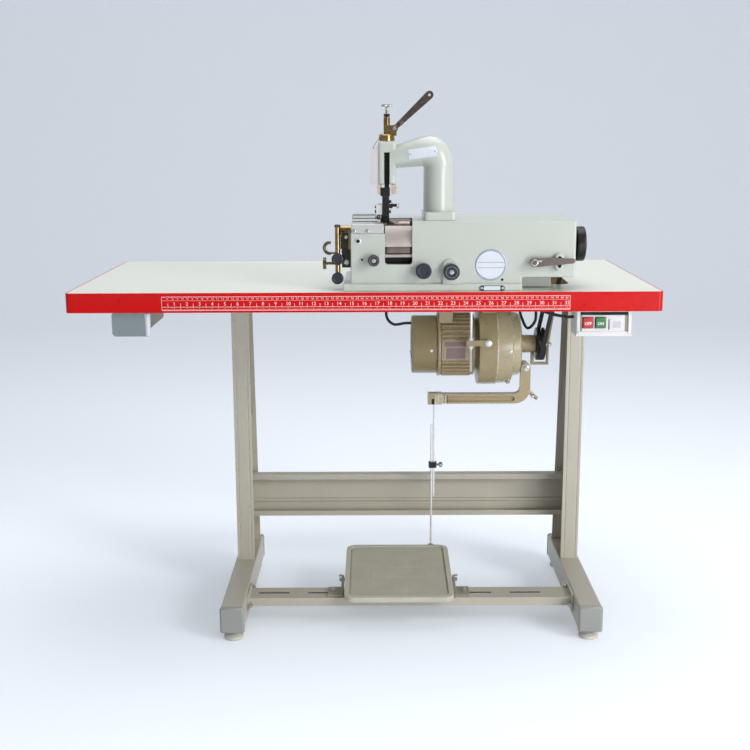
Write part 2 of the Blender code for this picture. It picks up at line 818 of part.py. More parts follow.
def belt_reach():
    """How far the belt's outer faces lie, along Y, from the line between the two axes."""
    rise = AXIS_Z - MOTOR_AXIS_Z
    span = math.hypot(MOTOR_AXIS_Y - AXIS_Y, rise)
    return max(HEAD_PULLEY_RADIUS, MOTOR_PULLEY_RADIUS) * span / rise


def belt_middle_y(z):
    """Y of the line between the two pulley axes at a height."""
    share = (AXIS_Z - z) / (AXIS_Z - MOTOR_AXIS_Z)
    return AXIS_Y + (MOTOR_AXIS_Y - AXIS_Y) * share


def tabletop(board, plastic):
    """The board, with its belt slot, and the plastic edging pressed round it."""
    inset = BAND_THICK + FIT
    half_x = TABLE_WIDTH / 2
    half_y = TABLE_DEPTH / 2
    outer = rounded_box((-half_x, -half_y), (half_x, half_y), TABLE_CORNER)
    inner = rounded_box(
        (BAND_THICK - half_x, BAND_THICK - half_y),
        (half_x - BAND_THICK, half_y - BAND_THICK), TABLE_CORNER - BAND_THICK,
    )
    panel = rounded_box(
        (inset - half_x, inset - half_y), (half_x - inset, half_y - inset), TABLE_CORNER - inset,
    )
    middle = (0.0, 0.0, TABLE_TOP_Z - TABLE_THICK / 2)
    top = plate("tabletop", [panel], TABLE_THICK, middle, IN_XY, board)
    slot = rounded_box(
        (BELT_X - BELT_SLOT_WIDTH / 2,
         belt_middle_y(TABLE_TOP_Z) - belt_reach() - BELT_SLOT_MARGIN),
        (BELT_X + BELT_SLOT_WIDTH / 2,
         belt_middle_y(TABLE_UNDER_Z) + belt_reach() + BELT_SLOT_MARGIN),
        BELT_SLOT_WIDTH / 2 - FIT,
    )
    cut(top, plate("belt_slot_tool", [slot], TABLE_THICK + 2 * OVERRUN, middle, IN_XY))
    plate("edge_band", [outer, inner], TABLE_THICK, middle, IN_XY, plastic)


def levelling_pad(name, x, y, rubber):
    """A turned pad, its nut and its screw, which runs up into the foot."""
    profile = [
        (0.0, PAD_HEIGHT + PAD_STEM_REACH),
        (PAD_STEM_RADIUS, PAD_HEIGHT + PAD_STEM_REACH),
        (PAD_STEM_RADIUS, PAD_HEIGHT),
        (PAD_NUT_RADIUS, PAD_HEIGHT),
        (PAD_NUT_RADIUS, PAD_HEIGHT - PAD_NUT_HEIGHT),
        (PAD_RADIUS - PAD_EDGE, PAD_RIM),
        (PAD_RADIUS, PAD_RIM - PAD_EDGE),
        (PAD_RADIUS, 0.0),
        (0.0, 0.0),
    ]
    turned(name, profile, (x, y, 0.0), UPWARD, rubber, ROUND_STEPS)


def foot(side, x, paint, rubber):
    """A square tube on the floor with a cap at each end and two levelling pads."""
    half = FOOT_WIDTH / 2
    back_y = FOOT_FRONT_Y + FOOT_LENGTH
    bar = block(
        side + "_foot", (x - half, FOOT_FRONT_Y + FOOT_CAP_LIP, FOOT_BOTTOM_Z),
        (x + half, back_y - FOOT_CAP_LIP, FOOT_TOP_Z), paint,
    )
    soften(bar, FOOT_EDGE, 2)
    for end, start_y in (("front", FOOT_FRONT_Y), ("back", back_y - FOOT_CAP_LENGTH)):
        cap = block(
            side + "_" + end + "_cap_tool",
            (x - half - FOOT_CAP_LIP, start_y, FOOT_BOTTOM_Z - FOOT_CAP_LIP),
            (x + half + FOOT_CAP_LIP, start_y + FOOT_CAP_LENGTH, FOOT_TOP_Z + FOOT_CAP_LIP),
        )
        soften(cap, FOOT_EDGE)
        weld(bar, cap)
    for end, y in (("front", FOOT_FRONT_Y + PAD_INSET), ("back", back_y - PAD_INSET)):
        hole = rod(
            side + "_" + end + "_stem_tool", clear_of(PAD_STEM_RADIUS, FIT),
            (x, y, FOOT_BOTTOM_Z - OVERRUN), (x, y, PAD_HEIGHT + PAD_STEM_REACH + FIT),
        )
        cut(bar, hole)
        levelling_pad(side + "_" + end + "_pad", x, y, rubber)


def column_back_y(z):
    """The column is deeper at its foot than under the table."""
    share = (z - FOOT_TOP_Z) / (COLUMN_TOP_Z - FOOT_TOP_Z)
    return COLUMN_FRONT_Y + COLUMN_FOOT_DEPTH + (COLUMN_TOP_DEPTH - COLUMN_FOOT_DEPTH) * share


def column(side, web_x, inward, paint):
    """A pressed channel, open to the inside, welded to the rail that the table is screwed to."""
    foot_z = FOOT_TOP_Z + FIT
    head_z = COLUMN_TOP_Z - RAIL_THICK / 2
    outer = [
        (COLUMN_FRONT_Y, foot_z), (column_back_y(foot_z), foot_z),
        (column_back_y(head_z), head_z), (COLUMN_FRONT_Y, head_z),
    ]
    low_z = foot_z - OVERRUN
    top_z = head_z + OVERRUN
    inner = [
        (COLUMN_FRONT_Y + COLUMN_WALL, low_z), (column_back_y(low_z) - COLUMN_WALL, low_z),
        (column_back_y(top_z) - COLUMN_WALL, top_z), (COLUMN_FRONT_Y + COLUMN_WALL, top_z),
    ]
    name = side + "_column"
    middle_x = web_x + inward * COLUMN_WIDTH / 2
    post = plate(name, [outer], COLUMN_WIDTH, (middle_x, 0.0, 0.0), IN_YZ, paint)
    hollow = (middle_x + inward * COLUMN_WALL, 0.0, 0.0)
    cut(post, plate(name + "_hollow_tool", [inner], COLUMN_WIDTH, hollow, IN_YZ))
    for i, inset in enumerate((GROOVE_INSET, COLUMN_WIDTH - GROOVE_INSET)):
        groove_x = web_x + inward * inset
        groove = block(
            name + "_groove_tool_" + str(i),
            (groove_x - GROOVE_WIDTH / 2, COLUMN_FRONT_Y - OVERRUN, low_z),
            (groove_x + GROOVE_WIDTH / 2, COLUMN_FRONT_Y + GROOVE_DEPTH, top_z),
        )
        cut(post, groove)
    rail = block(
        name + "_rail_tool",
        (middle_x - COLUMN_WIDTH / 2 - RAIL_LIP, RAIL_FRONT_Y, COLUMN_TOP_Z - RAIL_THICK),
        (middle_x + COLUMN_WIDTH / 2 + RAIL_LIP, RAIL_FRONT_Y + RAIL_LENGTH, COLUMN_TOP_Z),
    )
    weld(post, rail)
    brace(side, web_x, inward, paint)


def brace(side, web_x, inward, paint):
    """The flat bar that stiffens the channel, from its front wall down to its back wall."""
    front = COLUMN_FRONT_Y + COLUMN_WALL + FIT
    inset = COLUMN_WALL + FIT
    outline = [
        (front, BRACE_TOP_Z), (front, BRACE_TOP_Z - BRACE_THICK),
        (column_back_y(BRACE_FOOT_Z - BRACE_THICK) - inset, BRACE_FOOT_Z - BRACE_THICK),
        (column_back_y(BRACE_FOOT_Z) - inset, BRACE_FOOT_Z),
    ]
    x = web_x + inward * (inset + BRACE_WIDTH / 2)
    plate(side + "_brace", [outline], BRACE_WIDTH, (x, 0.0, 0.0), IN_YZ, paint)


def rear_stretcher(paint):
    """A channel with turned lips and a pressed rib, between the two columns."""
    front = STRETCHER_FRONT_Y + STRETCHER_WALL / 2
    back = STRETCHER_FRONT_Y + STRETCHER_DEPTH - STRETCHER_WALL / 2
    top = STRETCHER_TOP_Z - STRETCHER_WALL / 2
    bottom = STRETCHER_TOP_Z - STRETCHER_HEIGHT + STRETCHER_WALL / 2
    rib_top = top - STRETCHER_RIB_DROP
    rib = back - STRETCHER_RIB_RISE
    line = [
        (front, top - STRETCHER_LIP), (front, top), (back, top),
        (back, rib_top), (rib, rib_top - STRETCHER_RIB_WIDTH / 3),
        (rib, rib_top - 2 * STRETCHER_RIB_WIDTH / 3), (back, rib_top - STRETCHER_RIB_WIDTH),
        (back, bottom), (front, bottom), (front, bottom + STRETCHER_LIP),
    ]
    inset = COLUMN_WALL + FIT
    bent_sheet(
        "rear_stretcher", line, LEFT_WEB_X + inset, RIGHT_WEB_X - inset, STRETCHER_WALL, paint,
    )


def pedal_crossbar(paint):
    """A slotted channel between the feet, with a bolting plate at each end."""
    start = LEFT_FOOT_X + FOOT_WIDTH / 2 + FIT
    end = RIGHT_FOOT_X - FOOT_WIDTH / 2 - FIT
    front = CROSSBAR_REAR_Y - CROSSBAR_WIDTH + CROSSBAR_WALL / 2
    back = CROSSBAR_REAR_Y - CROSSBAR_WALL / 2
    top = CROSSBAR_TOP_Z - CROSSBAR_WALL / 2
    foot_z = CROSSBAR_TOP_Z - CROSSBAR_DROP
    line = [(front, foot_z), (front, top), (back, top), (back, foot_z)]
    bar = bent_sheet(
        "pedal_crossbar", line, start + WELD_DEPTH / 2, end - WELD_DEPTH / 2, CROSSBAR_WALL, paint,
    )
    middle_y = CROSSBAR_REAR_Y - CROSSBAR_WIDTH / 2
    middle_z = CROSSBAR_TOP_Z - CROSSBAR_DROP / 2
    for side, x in (("left", start), ("right", end - CROSSBAR_PLATE_THICK)):
        flange = block(
            "crossbar_" + side + "_plate_tool",
            (x, middle_y - CROSSBAR_PLATE_WIDTH / 2, middle_z - CROSSBAR_PLATE_HEIGHT / 2),
            (x + CROSSBAR_PLATE_THICK, middle_y + CROSSBAR_PLATE_WIDTH / 2,
             middle_z + CROSSBAR_PLATE_HEIGHT / 2),
        )
        weld(bar, flange)
    starts = (
        start + LEFT_SLOT_INSET, start + LEFT_SLOT_INSET + SLOT_PITCH,
        end - RIGHT_SLOT_INSET - SLOT_LENGTH, end - RIGHT_SLOT_INSET - SLOT_LENGTH - SLOT_PITCH,
    )
    for i, x in enumerate(starts):
        low = (x, -SLOT_WIDTH / 2)
        high = (x + SLOT_LENGTH, SLOT_WIDTH / 2)
        outline = rounded_box(low, high, SLOT_WIDTH / 2 - FIT, 2)
        centre = (0.0, middle_y, CROSSBAR_TOP_Z)
        cut(bar, plate("slot_tool_" + str(i), [outline], 2 * OVERRUN, centre, IN_XY))


def pedal(casting, rubber, steel):
    """The treadle: a ribbed casting with a raised rim, its mat, and the axle that it rocks on."""
    left = PEDAL_CENTRE_X - PEDAL_WIDTH / 2
    right = PEDAL_CENTRE_X + PEDAL_WIDTH / 2
    front = AXLE_Y - PEDAL_FRONT_REACH
    back = front + PEDAL_LENGTH
    under = AXLE_Z + PEDAL_LIFT
    height = PEDAL_PLATE + PEDAL_RIM_HEIGHT
    outline = rounded_box((left, front), (right, back), PEDAL_CORNER)
    tread = plate("pedal", [outline], height, (0.0, 0.0, under + height / 2), IN_XY, casting)
    rim = PEDAL_RIM_WIDTH
    recess = rounded_box((left + rim, front + rim), (right - rim, back - rim), PEDAL_CORNER - rim)
    depth = PEDAL_RIM_HEIGHT + OVERRUN
    recess_middle = (0.0, 0.0, under + PEDAL_PLATE + depth / 2)
    cut(tread, plate("pedal_recess_tool", [recess], depth, recess_middle, IN_XY))
    for i, share in enumerate(PEDAL_RIB_SHARES):
        x = left + PEDAL_WIDTH * share
        rib = block(
            "pedal_rib_tool_" + str(i),
            (x - PEDAL_RIB_WIDTH / 2, front + rim, under - PEDAL_RIB_DROP),
            (x + PEDAL_RIB_WIDTH / 2, back - rim, under + WELD_DEPTH),
        )
        weld(tread, rib)
    for side, x in (("left", left), ("right", right - LUG_LENGTH)):
        lug = rod(
            "pedal_" + side + "_lug_tool", LUG_RADIUS,
            (x, AXLE_Y, AXLE_Z), (x + LUG_LENGTH, AXLE_Y, AXLE_Z),
        )
        weld(tread, lug)
    eye_x = HOOK_X - ROD_SPACING
    eye_z = under + PEDAL_PLATE / 2
    eye = rod(
        "pedal_eye_tool", ROD_EYE_RADIUS, (eye_x, LEVER_Y, eye_z - ROD_EYE_HEIGHT / 2),
        (eye_x, LEVER_Y, eye_z + ROD_EYE_HEIGHT / 2),
    )
    weld(tread, eye)
    hole = rod(
        "pedal_eye_hole_tool", ROD_EYE_HOLE, (eye_x, LEVER_Y, eye_z - ROD_EYE_HEIGHT),
        (eye_x, LEVER_Y, eye_z + ROD_EYE_HEIGHT + PEDAL_RIM_HEIGHT),
    )
    cut(tread, hole)
    bore = rod(
        "pedal_bore_tool", clear_of(AXLE_RADIUS, RUN_GAP),
        (left - OVERRUN, AXLE_Y, AXLE_Z), (right + OVERRUN, AXLE_Y, AXLE_Z),
    )
    cut(tread, bore)
    mat = pedal_mat(left + rim, right - rim, front + rim, back - rim, under + PEDAL_PLATE, rubber)
    pivot("pedal_pivot", (PEDAL_CENTRE_X, AXLE_Y, AXLE_Z), tread, mat)
    bpy.data.objects["pedal_pivot"].rotation_euler = (PEDAL_TILT, 0.0, 0.0)
    reach = BRACKET_GAP + BRACKET_WALL + AXLE_OVERHANG
    rod(
        "pedal_axle", AXLE_RADIUS, (left - reach, AXLE_Y, AXLE_Z),
        (right + reach, AXLE_Y, AXLE_Z), steel,
    )


def pedal_mat(left, right, front, back, floor_z, rubber):
    """The ribbed rubber mat laid in the pedal's recess: a section with ribs, run along X."""
    edge = RUN_GAP
    foot_z = floor_z + FIT
    top_z = foot_z + MAT_THICK
    pitch = (back - front - 2 * edge) / (2 * MAT_RIBS + 1)
    section = [(front + edge, foot_z), (back - edge, foot_z), (back - edge, top_z)]
    for i in range(MAT_RIBS):
        start = back - edge - (2 * i + 1) * pitch
        section += [
            (start, top_z), (start, top_z + MAT_RIB_HEIGHT),
            (start - pitch, top_z + MAT_RIB_HEIGHT), (start - pitch, top_z),
        ]
    section.append((front + edge, top_z))
    width = right - left - 2 * edge
    mat = plate("pedal_mat", [section], width, ((left + right) / 2, 0.0, 0.0), IN_YZ, rubber)
    corner = PEDAL_CORNER - PEDAL_RIM_WIDTH
    outline = rounded_box((left + edge, front + edge), (right - edge, back - edge), corner)
    middle = (0.0, 0.0, foot_z + MAT_THICK / 2)
    trim = plate("mat_trim_tool", [outline], 2 * PEDAL_RIM_HEIGHT, middle, IN_XY)
    return boolean(mat, trim, "INTERSECT")


def pedal_bracket(side, cheek_x, outward, casting):
    """An angle bolted on the crossbar whose cheek holds one end of the axle."""
    foot_z = CROSSBAR_TOP_Z + FIT
    middle_y = CROSSBAR_REAR_Y - CROSSBAR_WIDTH / 2
    front = middle_y - BRACKET_FOOT_LENGTH / 2
    back = middle_y + BRACKET_FOOT_LENGTH / 2
    outline = [(front, foot_z), (CROSSBAR_REAR_Y + RUN_GAP, foot_z)]
    outline += arc((AXLE_Y, AXLE_Z), BRACKET_EYE, -EYE_SWEEP, EYE_SWEEP)
    outline.append((front, foot_z + BRACKET_FOOT_THICK))
    name = side + "_pedal_bracket"
    middle_x = cheek_x + outward * BRACKET_WALL / 2
    cheek = plate(name, [outline], BRACKET_WALL, (middle_x, 0.0, 0.0), IN_YZ, casting)
    ends = sorted((cheek_x + outward * BRACKET_WALL / 2, cheek_x + outward * BRACKET_FOOT))
    base = block(
        name + "_base_tool", (ends[0], front, foot_z), (ends[1], back, foot_z + BRACKET_FOOT_THICK),
    )
    weld(cheek, base)
    bore = rod(
        name + "_bore_tool", clear_of(AXLE_RADIUS, FIT),
        (cheek_x - BRACKET_FOOT, AXLE_Y, AXLE_Z), (cheek_x + BRACKET_FOOT, AXLE_Y, AXLE_Z),
    )
    cut(cheek, bore)


def stator(paint):
    """The motor's ribbed frame, its cooling fins worked out round the circle."""
    pitch = 2 * math.pi / FIN_COUNT
    fins = []
    for i in range(FIN_COUNT):
        start = i * pitch
        crest = start + pitch * FIN_SHARE
        for angle, radius in (
            (start, STATOR_RADIUS), (crest, STATOR_RADIUS),
            (crest, STATOR_RADIUS - FIN_DEPTH), (start + pitch, STATOR_RADIUS - FIN_DEPTH),
        ):
            fins.append((radius * math.cos(angle), radius * math.sin(angle)))
    centre = ((STATOR_LEFT_X + STATOR_RIGHT_X) / 2, MOTOR_AXIS_Y, MOTOR_AXIS_Z)
    frame = plate("motor_frame", [fins], STATOR_LENGTH, centre, IN_YZ, paint)
    spigot = rod(
        "motor_spigot_tool", STATOR_SPIGOT, (STATOR_RIGHT_X - WELD_DEPTH, MOTOR_AXIS_Y, MOTOR_AXIS_Z),
        (FLANGE_LEFT_X - FIT, MOTOR_AXIS_Y, MOTOR_AXIS_Z), steps=FINE_STEPS,
    )
    weld(frame, spigot)


def end_cover(paint):
    """The cup over the motor's left end."""
    quarter = math.pi / 2
    corner = arc(
        (END_COVER_RADIUS - END_COVER_EDGE, END_COVER_EDGE - END_COVER_LENGTH),
        END_COVER_EDGE, 0.0, -quarter, 3,
    )
    profile = [(0.0, 0.0), (END_COVER_RADIUS, 0.0)] + corner + [(0.0, -END_COVER_LENGTH)]
    turned(
        "motor_end_cover", profile, (END_COVER_RIGHT_X, MOTOR_AXIS_Y, MOTOR_AXIS_Z), ALONG_X, paint,
    )


def clutch_housing(paint):
    """The clutch flange, its domed cover and the neck for the output shaft, with the lever's boss."""
    cover_foot = FLANGE_LENGTH
    cover_top = cover_foot + COVER_LENGTH
    neck_top = cover_top + NECK_LENGTH
    groove = FLANGE_GROOVE
    profile = [
        (0.0, neck_top), (NECK_RADIUS, neck_top), (NECK_RADIUS, cover_top + NECK_FILLET),
        (NECK_RADIUS + NECK_FILLET, cover_top), (COVER_END_RADIUS, cover_top),
        (COVER_END_RADIUS + COVER_SHOULDER, cover_top - COVER_STEP),
        (COVER_RADIUS - COVER_DRAFT, cover_top - COVER_STEP),
        (COVER_RADIUS, cover_foot + groove), (FLANGE_RADIUS - groove, cover_foot + groove),
        (FLANGE_RADIUS - groove, cover_foot), (FLANGE_RADIUS, cover_foot),
        (FLANGE_RADIUS, 0.0), (0.0, 0.0),
    ]
    start = (FLANGE_LEFT_X, MOTOR_AXIS_Y, MOTOR_AXIS_Z)
    housing = turned("clutch_housing", profile, start, ALONG_X, paint)
    back_y = MOTOR_AXIS_Y + PIVOT_BOSS_WIDTH / 2
    boss = rod(
        "lever_boss_tool", PIVOT_BOSS_RADIUS, (PIVOT_X, LEVER_BACK_Y + FIT, PIVOT_Z),
        (PIVOT_X, back_y, PIVOT_Z),
    )
    root = block(
        "lever_boss_root_tool",
        (COVER_RIGHT_X - WELD_DEPTH, LEVER_BACK_Y + RUN_GAP, PIVOT_Z - PIVOT_BOSS_ROOT / 2),
        (PIVOT_X, back_y - RUN_GAP, PIVOT_Z + PIVOT_BOSS_ROOT / 2),
    )
    weld(housing, boss)
    weld(housing, root)
    pin_hole = rod(
        "lever_pin_hole_tool", clear_of(PIVOT_PIN_RADIUS, RUN_GAP),
        (PIVOT_X, LEVER_BACK_Y - OVERRUN, PIVOT_Z), (PIVOT_X, back_y + OVERRUN, PIVOT_Z),
    )
    cut(housing, pin_hole)
    shaft_hole = rod(
        "motor_shaft_hole_tool", clear_of(MOTOR_SHAFT_RADIUS, RUN_GAP),
        (NECK_RIGHT_X - MOTOR_SHAFT_REACH - RUN_GAP, MOTOR_AXIS_Y, MOTOR_AXIS_Z),
        (NECK_RIGHT_X + OVERRUN, MOTOR_AXIS_Y, MOTOR_AXIS_Z),
    )
    cut(housing, shaft_hole)


def motor_bracket(paint):
    """The plate under the tabletop, with saddles on the clutch flange and the motor's frame."""
    top_z = TABLE_UNDER_Z - FIT
    base_z = top_z - MOTOR_PLATE_THICK
    hanger = block(
        "motor_bracket", (STATOR_LEFT_X, MOTOR_AXIS_Y - MOTOR_PLATE_DEPTH / 2, base_z),
        (FLANGE_RIGHT_X, MOTOR_AXIS_Y + MOTOR_PLATE_DEPTH / 2, top_z), paint,
    )
    saddles = (
        ("flange", FLANGE_RIGHT_X - SADDLE_LENGTH - WELD_DEPTH, FLANGE_RADIUS),
        ("frame", STATOR_LEFT_X + WELD_DEPTH, STATOR_RADIUS),
    )
    for name, x, radius in saddles:
        saddle = block(
            name + "_saddle_tool",
            (x, MOTOR_AXIS_Y - SADDLE_DEPTH / 2, MOTOR_AXIS_Z + SADDLE_FOOT),
            (x + SADDLE_LENGTH, MOTOR_AXIS_Y + SADDLE_DEPTH / 2, base_z + WELD_DEPTH),
        )
        weld(hanger, saddle)
        seat = rod(
            name + "_seat_tool", clear_of(radius, FIT, FINE_STEPS),
            (x - OVERRUN, MOTOR_AXIS_Y, MOTOR_AXIS_Z),
            (x + SADDLE_LENGTH + OVERRUN, MOTOR_AXIS_Y, MOTOR_AXIS_Z), steps=FINE_STEPS,
        )
        cut(hanger, seat)


def tension_rod(steel):
    """The threaded rod that sets the belt's tension, with its nuts and the arm to the clutch."""
    x = STATOR_RIGHT_X - TENSION_ROD_INSET
    y = MOTOR_AXIS_Y - FLANGE_RADIUS - TENSION_ROD_FRONT
    top_z = TABLE_UNDER_Z - FIT
    link_z = MOTOR_AXIS_Z + LINK_RISE
    screw = rod(
        "tension_rod", TENSION_ROD_RADIUS, (x, y, top_z - TENSION_ROD_LENGTH), (x, y, top_z),
        steel, 12,
    )
    arm = block(
        "link_arm_tool",
        (x - LINK_WIDTH, y - LINK_WIDTH / 2, link_z - LINK_HEIGHT / 2),
        (x - LINK_WIDTH + LINK_LENGTH, y + LINK_WIDTH / 2, link_z + LINK_HEIGHT / 2),
    )
    weld(screw, arm)
    for i, z in enumerate((link_z + LINK_HEIGHT / 2, link_z - LINK_HEIGHT / 2)):
        nut = rod(
            "tension_nut_tool_" + str(i), TENSION_NUT_RADIUS, (x, y, z - TENSION_NUT_HEIGHT),
            (x, y, z + TENSION_NUT_HEIGHT), steps=6,
        )
        weld(screw, nut)
    foot_x = x - LINK_WIDTH + LINK_LENGTH - LINK_HEIGHT / 2
    stud = rod(
        "link_stud_tool", LINK_HEIGHT / 2 - RUN_GAP, (foot_x, y, link_z),
        (foot_x, MOTOR_AXIS_Y - FLANGE_RADIUS + LINK_RISE, link_z), steps=12,
    )
    weld(screw, stud)
    seat = rod(
        "link_seat_tool", clear_of(FLANGE_RADIUS, FIT, FINE_STEPS),
        (FLANGE_LEFT_X - OVERRUN, MOTOR_AXIS_Y, MOTOR_AXIS_Z),
        (FLANGE_RIGHT_X + OVERRUN, MOTOR_AXIS_Y, MOTOR_AXIS_Z), steps=FINE_STEPS,
    )
    cut(screw, seat)


def belt_guard(paint):
    """A strap from the neck, under the pulley and up to the table, that keeps the belt in."""
    neck_z = MOTOR_AXIS_Z - NECK_RADIUS - FIT
    inner_x = NECK_RIGHT_X - GUARD_CLIP_GAP
    low_z = MOTOR_AXIS_Z - MOTOR_PULLEY_RADIUS - GUARD_STRAP_GAP
    outer_x = BELT_X + PULLEY_WIDTH / 2 + GUARD_STRAP_GAP
    head_x = outer_x + GUARD_STRAP_LEAN
    top_z = TABLE_UNDER_Z - FIT
    thick = GUARD_STRAP_THICK
    outline = [
        (inner_x - GUARD_CLIP_WIDTH, neck_z), (inner_x - GUARD_CLIP_WIDTH, low_z - thick),
        (outer_x + thick, low_z - thick), (outer_x + thick, MOTOR_AXIS_Z),
        (head_x + thick, top_z), (head_x, top_z), (outer_x, MOTOR_AXIS_Z),
        (outer_x, low_z), (inner_x, low_z), (inner_x, neck_z),
    ]
    centre = (0.0, MOTOR_AXIS_Y, 0.0)
    plate("belt_guard", [outline], GUARD_STRAP_WIDTH, centre, IN_XZ, paint)


def pulley_face(radius):
    """The rim of a pulley with its V groove, from its right edge to its left edge."""
    half = PULLEY_WIDTH / 2
    mouth = BELT_WIDTH / 2 + GROOVE_GAP
    floor = mouth - BELT_TAPER
    depth = BELT_THICK + GROOVE_FLOOR
    return [
        (radius, half), (radius, mouth), (radius - depth, floor),
        (radius - depth, -floor), (radius, -mouth), (radius, -half),
    ]


def motor_pulley(iron):
    """The small pulley and the clutch's output shaft, which turns in the neck."""
    half = PULLEY_WIDTH / 2
    tail = -half - RUN_GAP - MOTOR_SHAFT_REACH
    profile = [(0.0, half)] + pulley_face(MOTOR_PULLEY_RADIUS)
    profile += [(MOTOR_SHAFT_RADIUS, -half), (MOTOR_SHAFT_RADIUS, tail), (0.0, tail)]
    centre = (BELT_X, MOTOR_AXIS_Y, MOTOR_AXIS_Z)
    wheel = turned("motor_pulley", profile, centre, ALONG_X, iron)
    pivot("motor_shaft_axis", centre, wheel)


def drive_belt(rubber):
    """The V-belt round the two pulleys: a wedge section swept along the open belt line."""
    path = open_belt_path(
        AXIS_Y, AXIS_Z, HEAD_PULLEY_RADIUS, MOTOR_AXIS_Y, MOTOR_AXIS_Z, MOTOR_PULLEY_RADIUS,
        ROUND_STEPS,
    )
    section = bpy.data.curves.new("belt_section", "CURVE")
    section.dimensions = "2D"
    spline = section.splines.new("POLY")
    corners = [
        (0.0, BELT_WIDTH / 2), (BELT_THICK, BELT_WIDTH / 2 - BELT_TAPER),
        (BELT_THICK, BELT_TAPER - BELT_WIDTH / 2), (0.0, -BELT_WIDTH / 2),
    ]
    spline.points.add(len(corners) - 1)
    for point, (inward, across) in zip(spline.points, corners):
        point.co = (inward, across, 0.0, 1.0)
    spline.use_cyclic_u = True
    wedge = bpy.data.objects.new("belt_section", section)
    bpy.data.collections["cutters"].objects.link(wedge)
    wedge.hide_render = True
    curve = bpy.data.curves.new("drive_belt", "CURVE")
    curve.dimensions = "2D"
    curve.fill_mode = "NONE"
    curve.bevel_mode = "OBJECT"
    curve.bevel_object = wedge
    line = curve.splines.new("POLY")
    line.points.add(len(path) - 1)
    for point, (y, z) in zip(line.points, path):
        point.co = (y, z, 0.0, 1.0)
    line.use_cyclic_u = True
    holder = bpy.data.objects.new("drive_belt", curve)
    bpy.context.scene.collection.objects.link(holder)
    holder.location = (BELT_X, 0.0, 0.0)
    holder.rotation_euler = IN_YZ
    as_mesh(holder, "drive_belt", rubber)
    bpy.data.objects.remove(wedge, do_unlink=True)


def clutch_lever(casting):
    """The cranked lever under the clutch: hub, elbow, channelled arm and slotted end."""
    low = HOOK_Z - LEVER_ARM_HEIGHT / 2
    high = HOOK_Z + LEVER_ARM_HEIGHT / 2
    end_x = HOOK_X - LEVER_TAIL
    neck_right = PIVOT_X - LEVER_HEAD_RADIUS + LEVER_ARM_HEIGHT
    centre = (neck_right - LEVER_ELBOW_REACH, low + LEVER_ELBOW_REACH)
    inner = LEVER_ELBOW_REACH - LEVER_ARM_HEIGHT
    quarter = math.pi / 2
    outline = [(end_x, low)] + arc(centre, LEVER_ELBOW_REACH, -quarter, 0.0)
    outline += [(neck_right, PIVOT_Z), (neck_right - LEVER_ARM_HEIGHT, PIVOT_Z)]
    outline += arc(centre, inner, 0.0, -quarter, 3) + [(end_x, high)]
    middle = (0.0, LEVER_Y, 0.0)
    lever = plate("clutch_lever", [outline], LEVER_WIDTH, middle, IN_XZ, casting)
    front_y = LEVER_Y - LEVER_WIDTH / 2
    hub = rod(
        "lever_hub_tool", LEVER_HEAD_RADIUS, (PIVOT_X, front_y + LEVER_CHEEK_INSET, PIVOT_Z),
        (PIVOT_X, LEVER_BACK_Y, PIVOT_Z),
    )
    weld(lever, hub)
    pin = rod(
        "lever_pin_tool", PIVOT_PIN_RADIUS, (PIVOT_X, LEVER_Y, PIVOT_Z),
        (PIVOT_X, MOTOR_AXIS_Y + PIVOT_BOSS_WIDTH / 2, PIVOT_Z),
    )
    weld(lever, pin)
    end_block = block(
        "lever_end_tool",
        (end_x - WELD_DEPTH, front_y - RUN_GAP, HOOK_Z - LEVER_END_HEIGHT / 2),
        (end_x + LEVER_END_LENGTH, LEVER_BACK_Y + RUN_GAP, HOOK_Z + LEVER_END_HEIGHT / 2),
    )
    weld(lever, end_block)
    wall = LEVER_RECESS_WALL
    recess = rounded_box(
        (end_x + LEVER_END_LENGTH + wall, low + wall), (centre[0], high - wall),
        LEVER_ARM_HEIGHT / 2 - wall - FIT, 3,
    )
    recess_middle = (0.0, front_y, 0.0)
    cut(lever, plate("lever_recess_tool", [recess], 2 * LEVER_RECESS, recess_middle, IN_XZ))
    slot = block(
        "lever_slot_tool",
        (HOOK_X - LEVER_SLOT_WIDTH, LEVER_Y - LEVER_SLOT_WIDTH / 2, HOOK_Z - LEVER_END_HEIGHT),
        (HOOK_X + LEVER_SLOT_WIDTH, LEVER_Y + LEVER_SLOT_WIDTH / 2, HOOK_Z + LEVER_END_HEIGHT),
    )
    cut(lever, slot)
    hook_hole = rod(
        "hook_hole_tool", clear_of(ROD_RADIUS, RUN_GAP, 12), (HOOK_X, LEVER_Y, HOOK_Z),
        (HOOK_X, LEVER_BACK_Y + OVERRUN, HOOK_Z), steps=12,
    )
    cut(lever, hook_hole)
    screw_start = (neck_right - LEVER_ARM_HEIGHT / 2, LEVER_Y, low + LEVER_ELBOW_REACH)
    run = LEVER_SCREW_LENGTH * math.cos(LEVER_SCREW_ANGLE)
    drop = LEVER_SCREW_LENGTH * math.sin(LEVER_SCREW_ANGLE)
    screw = rod(
        "lever_screw_tool", LEVER_SCREW_RADIUS, screw_start,
        (screw_start[0] + run, LEVER_Y, screw_start[2] - drop), steps=12,
    )
    weld(lever, screw)
    pivot("clutch_lever_pivot", (PIVOT_X, LEVER_Y, PIVOT_Z), lever)


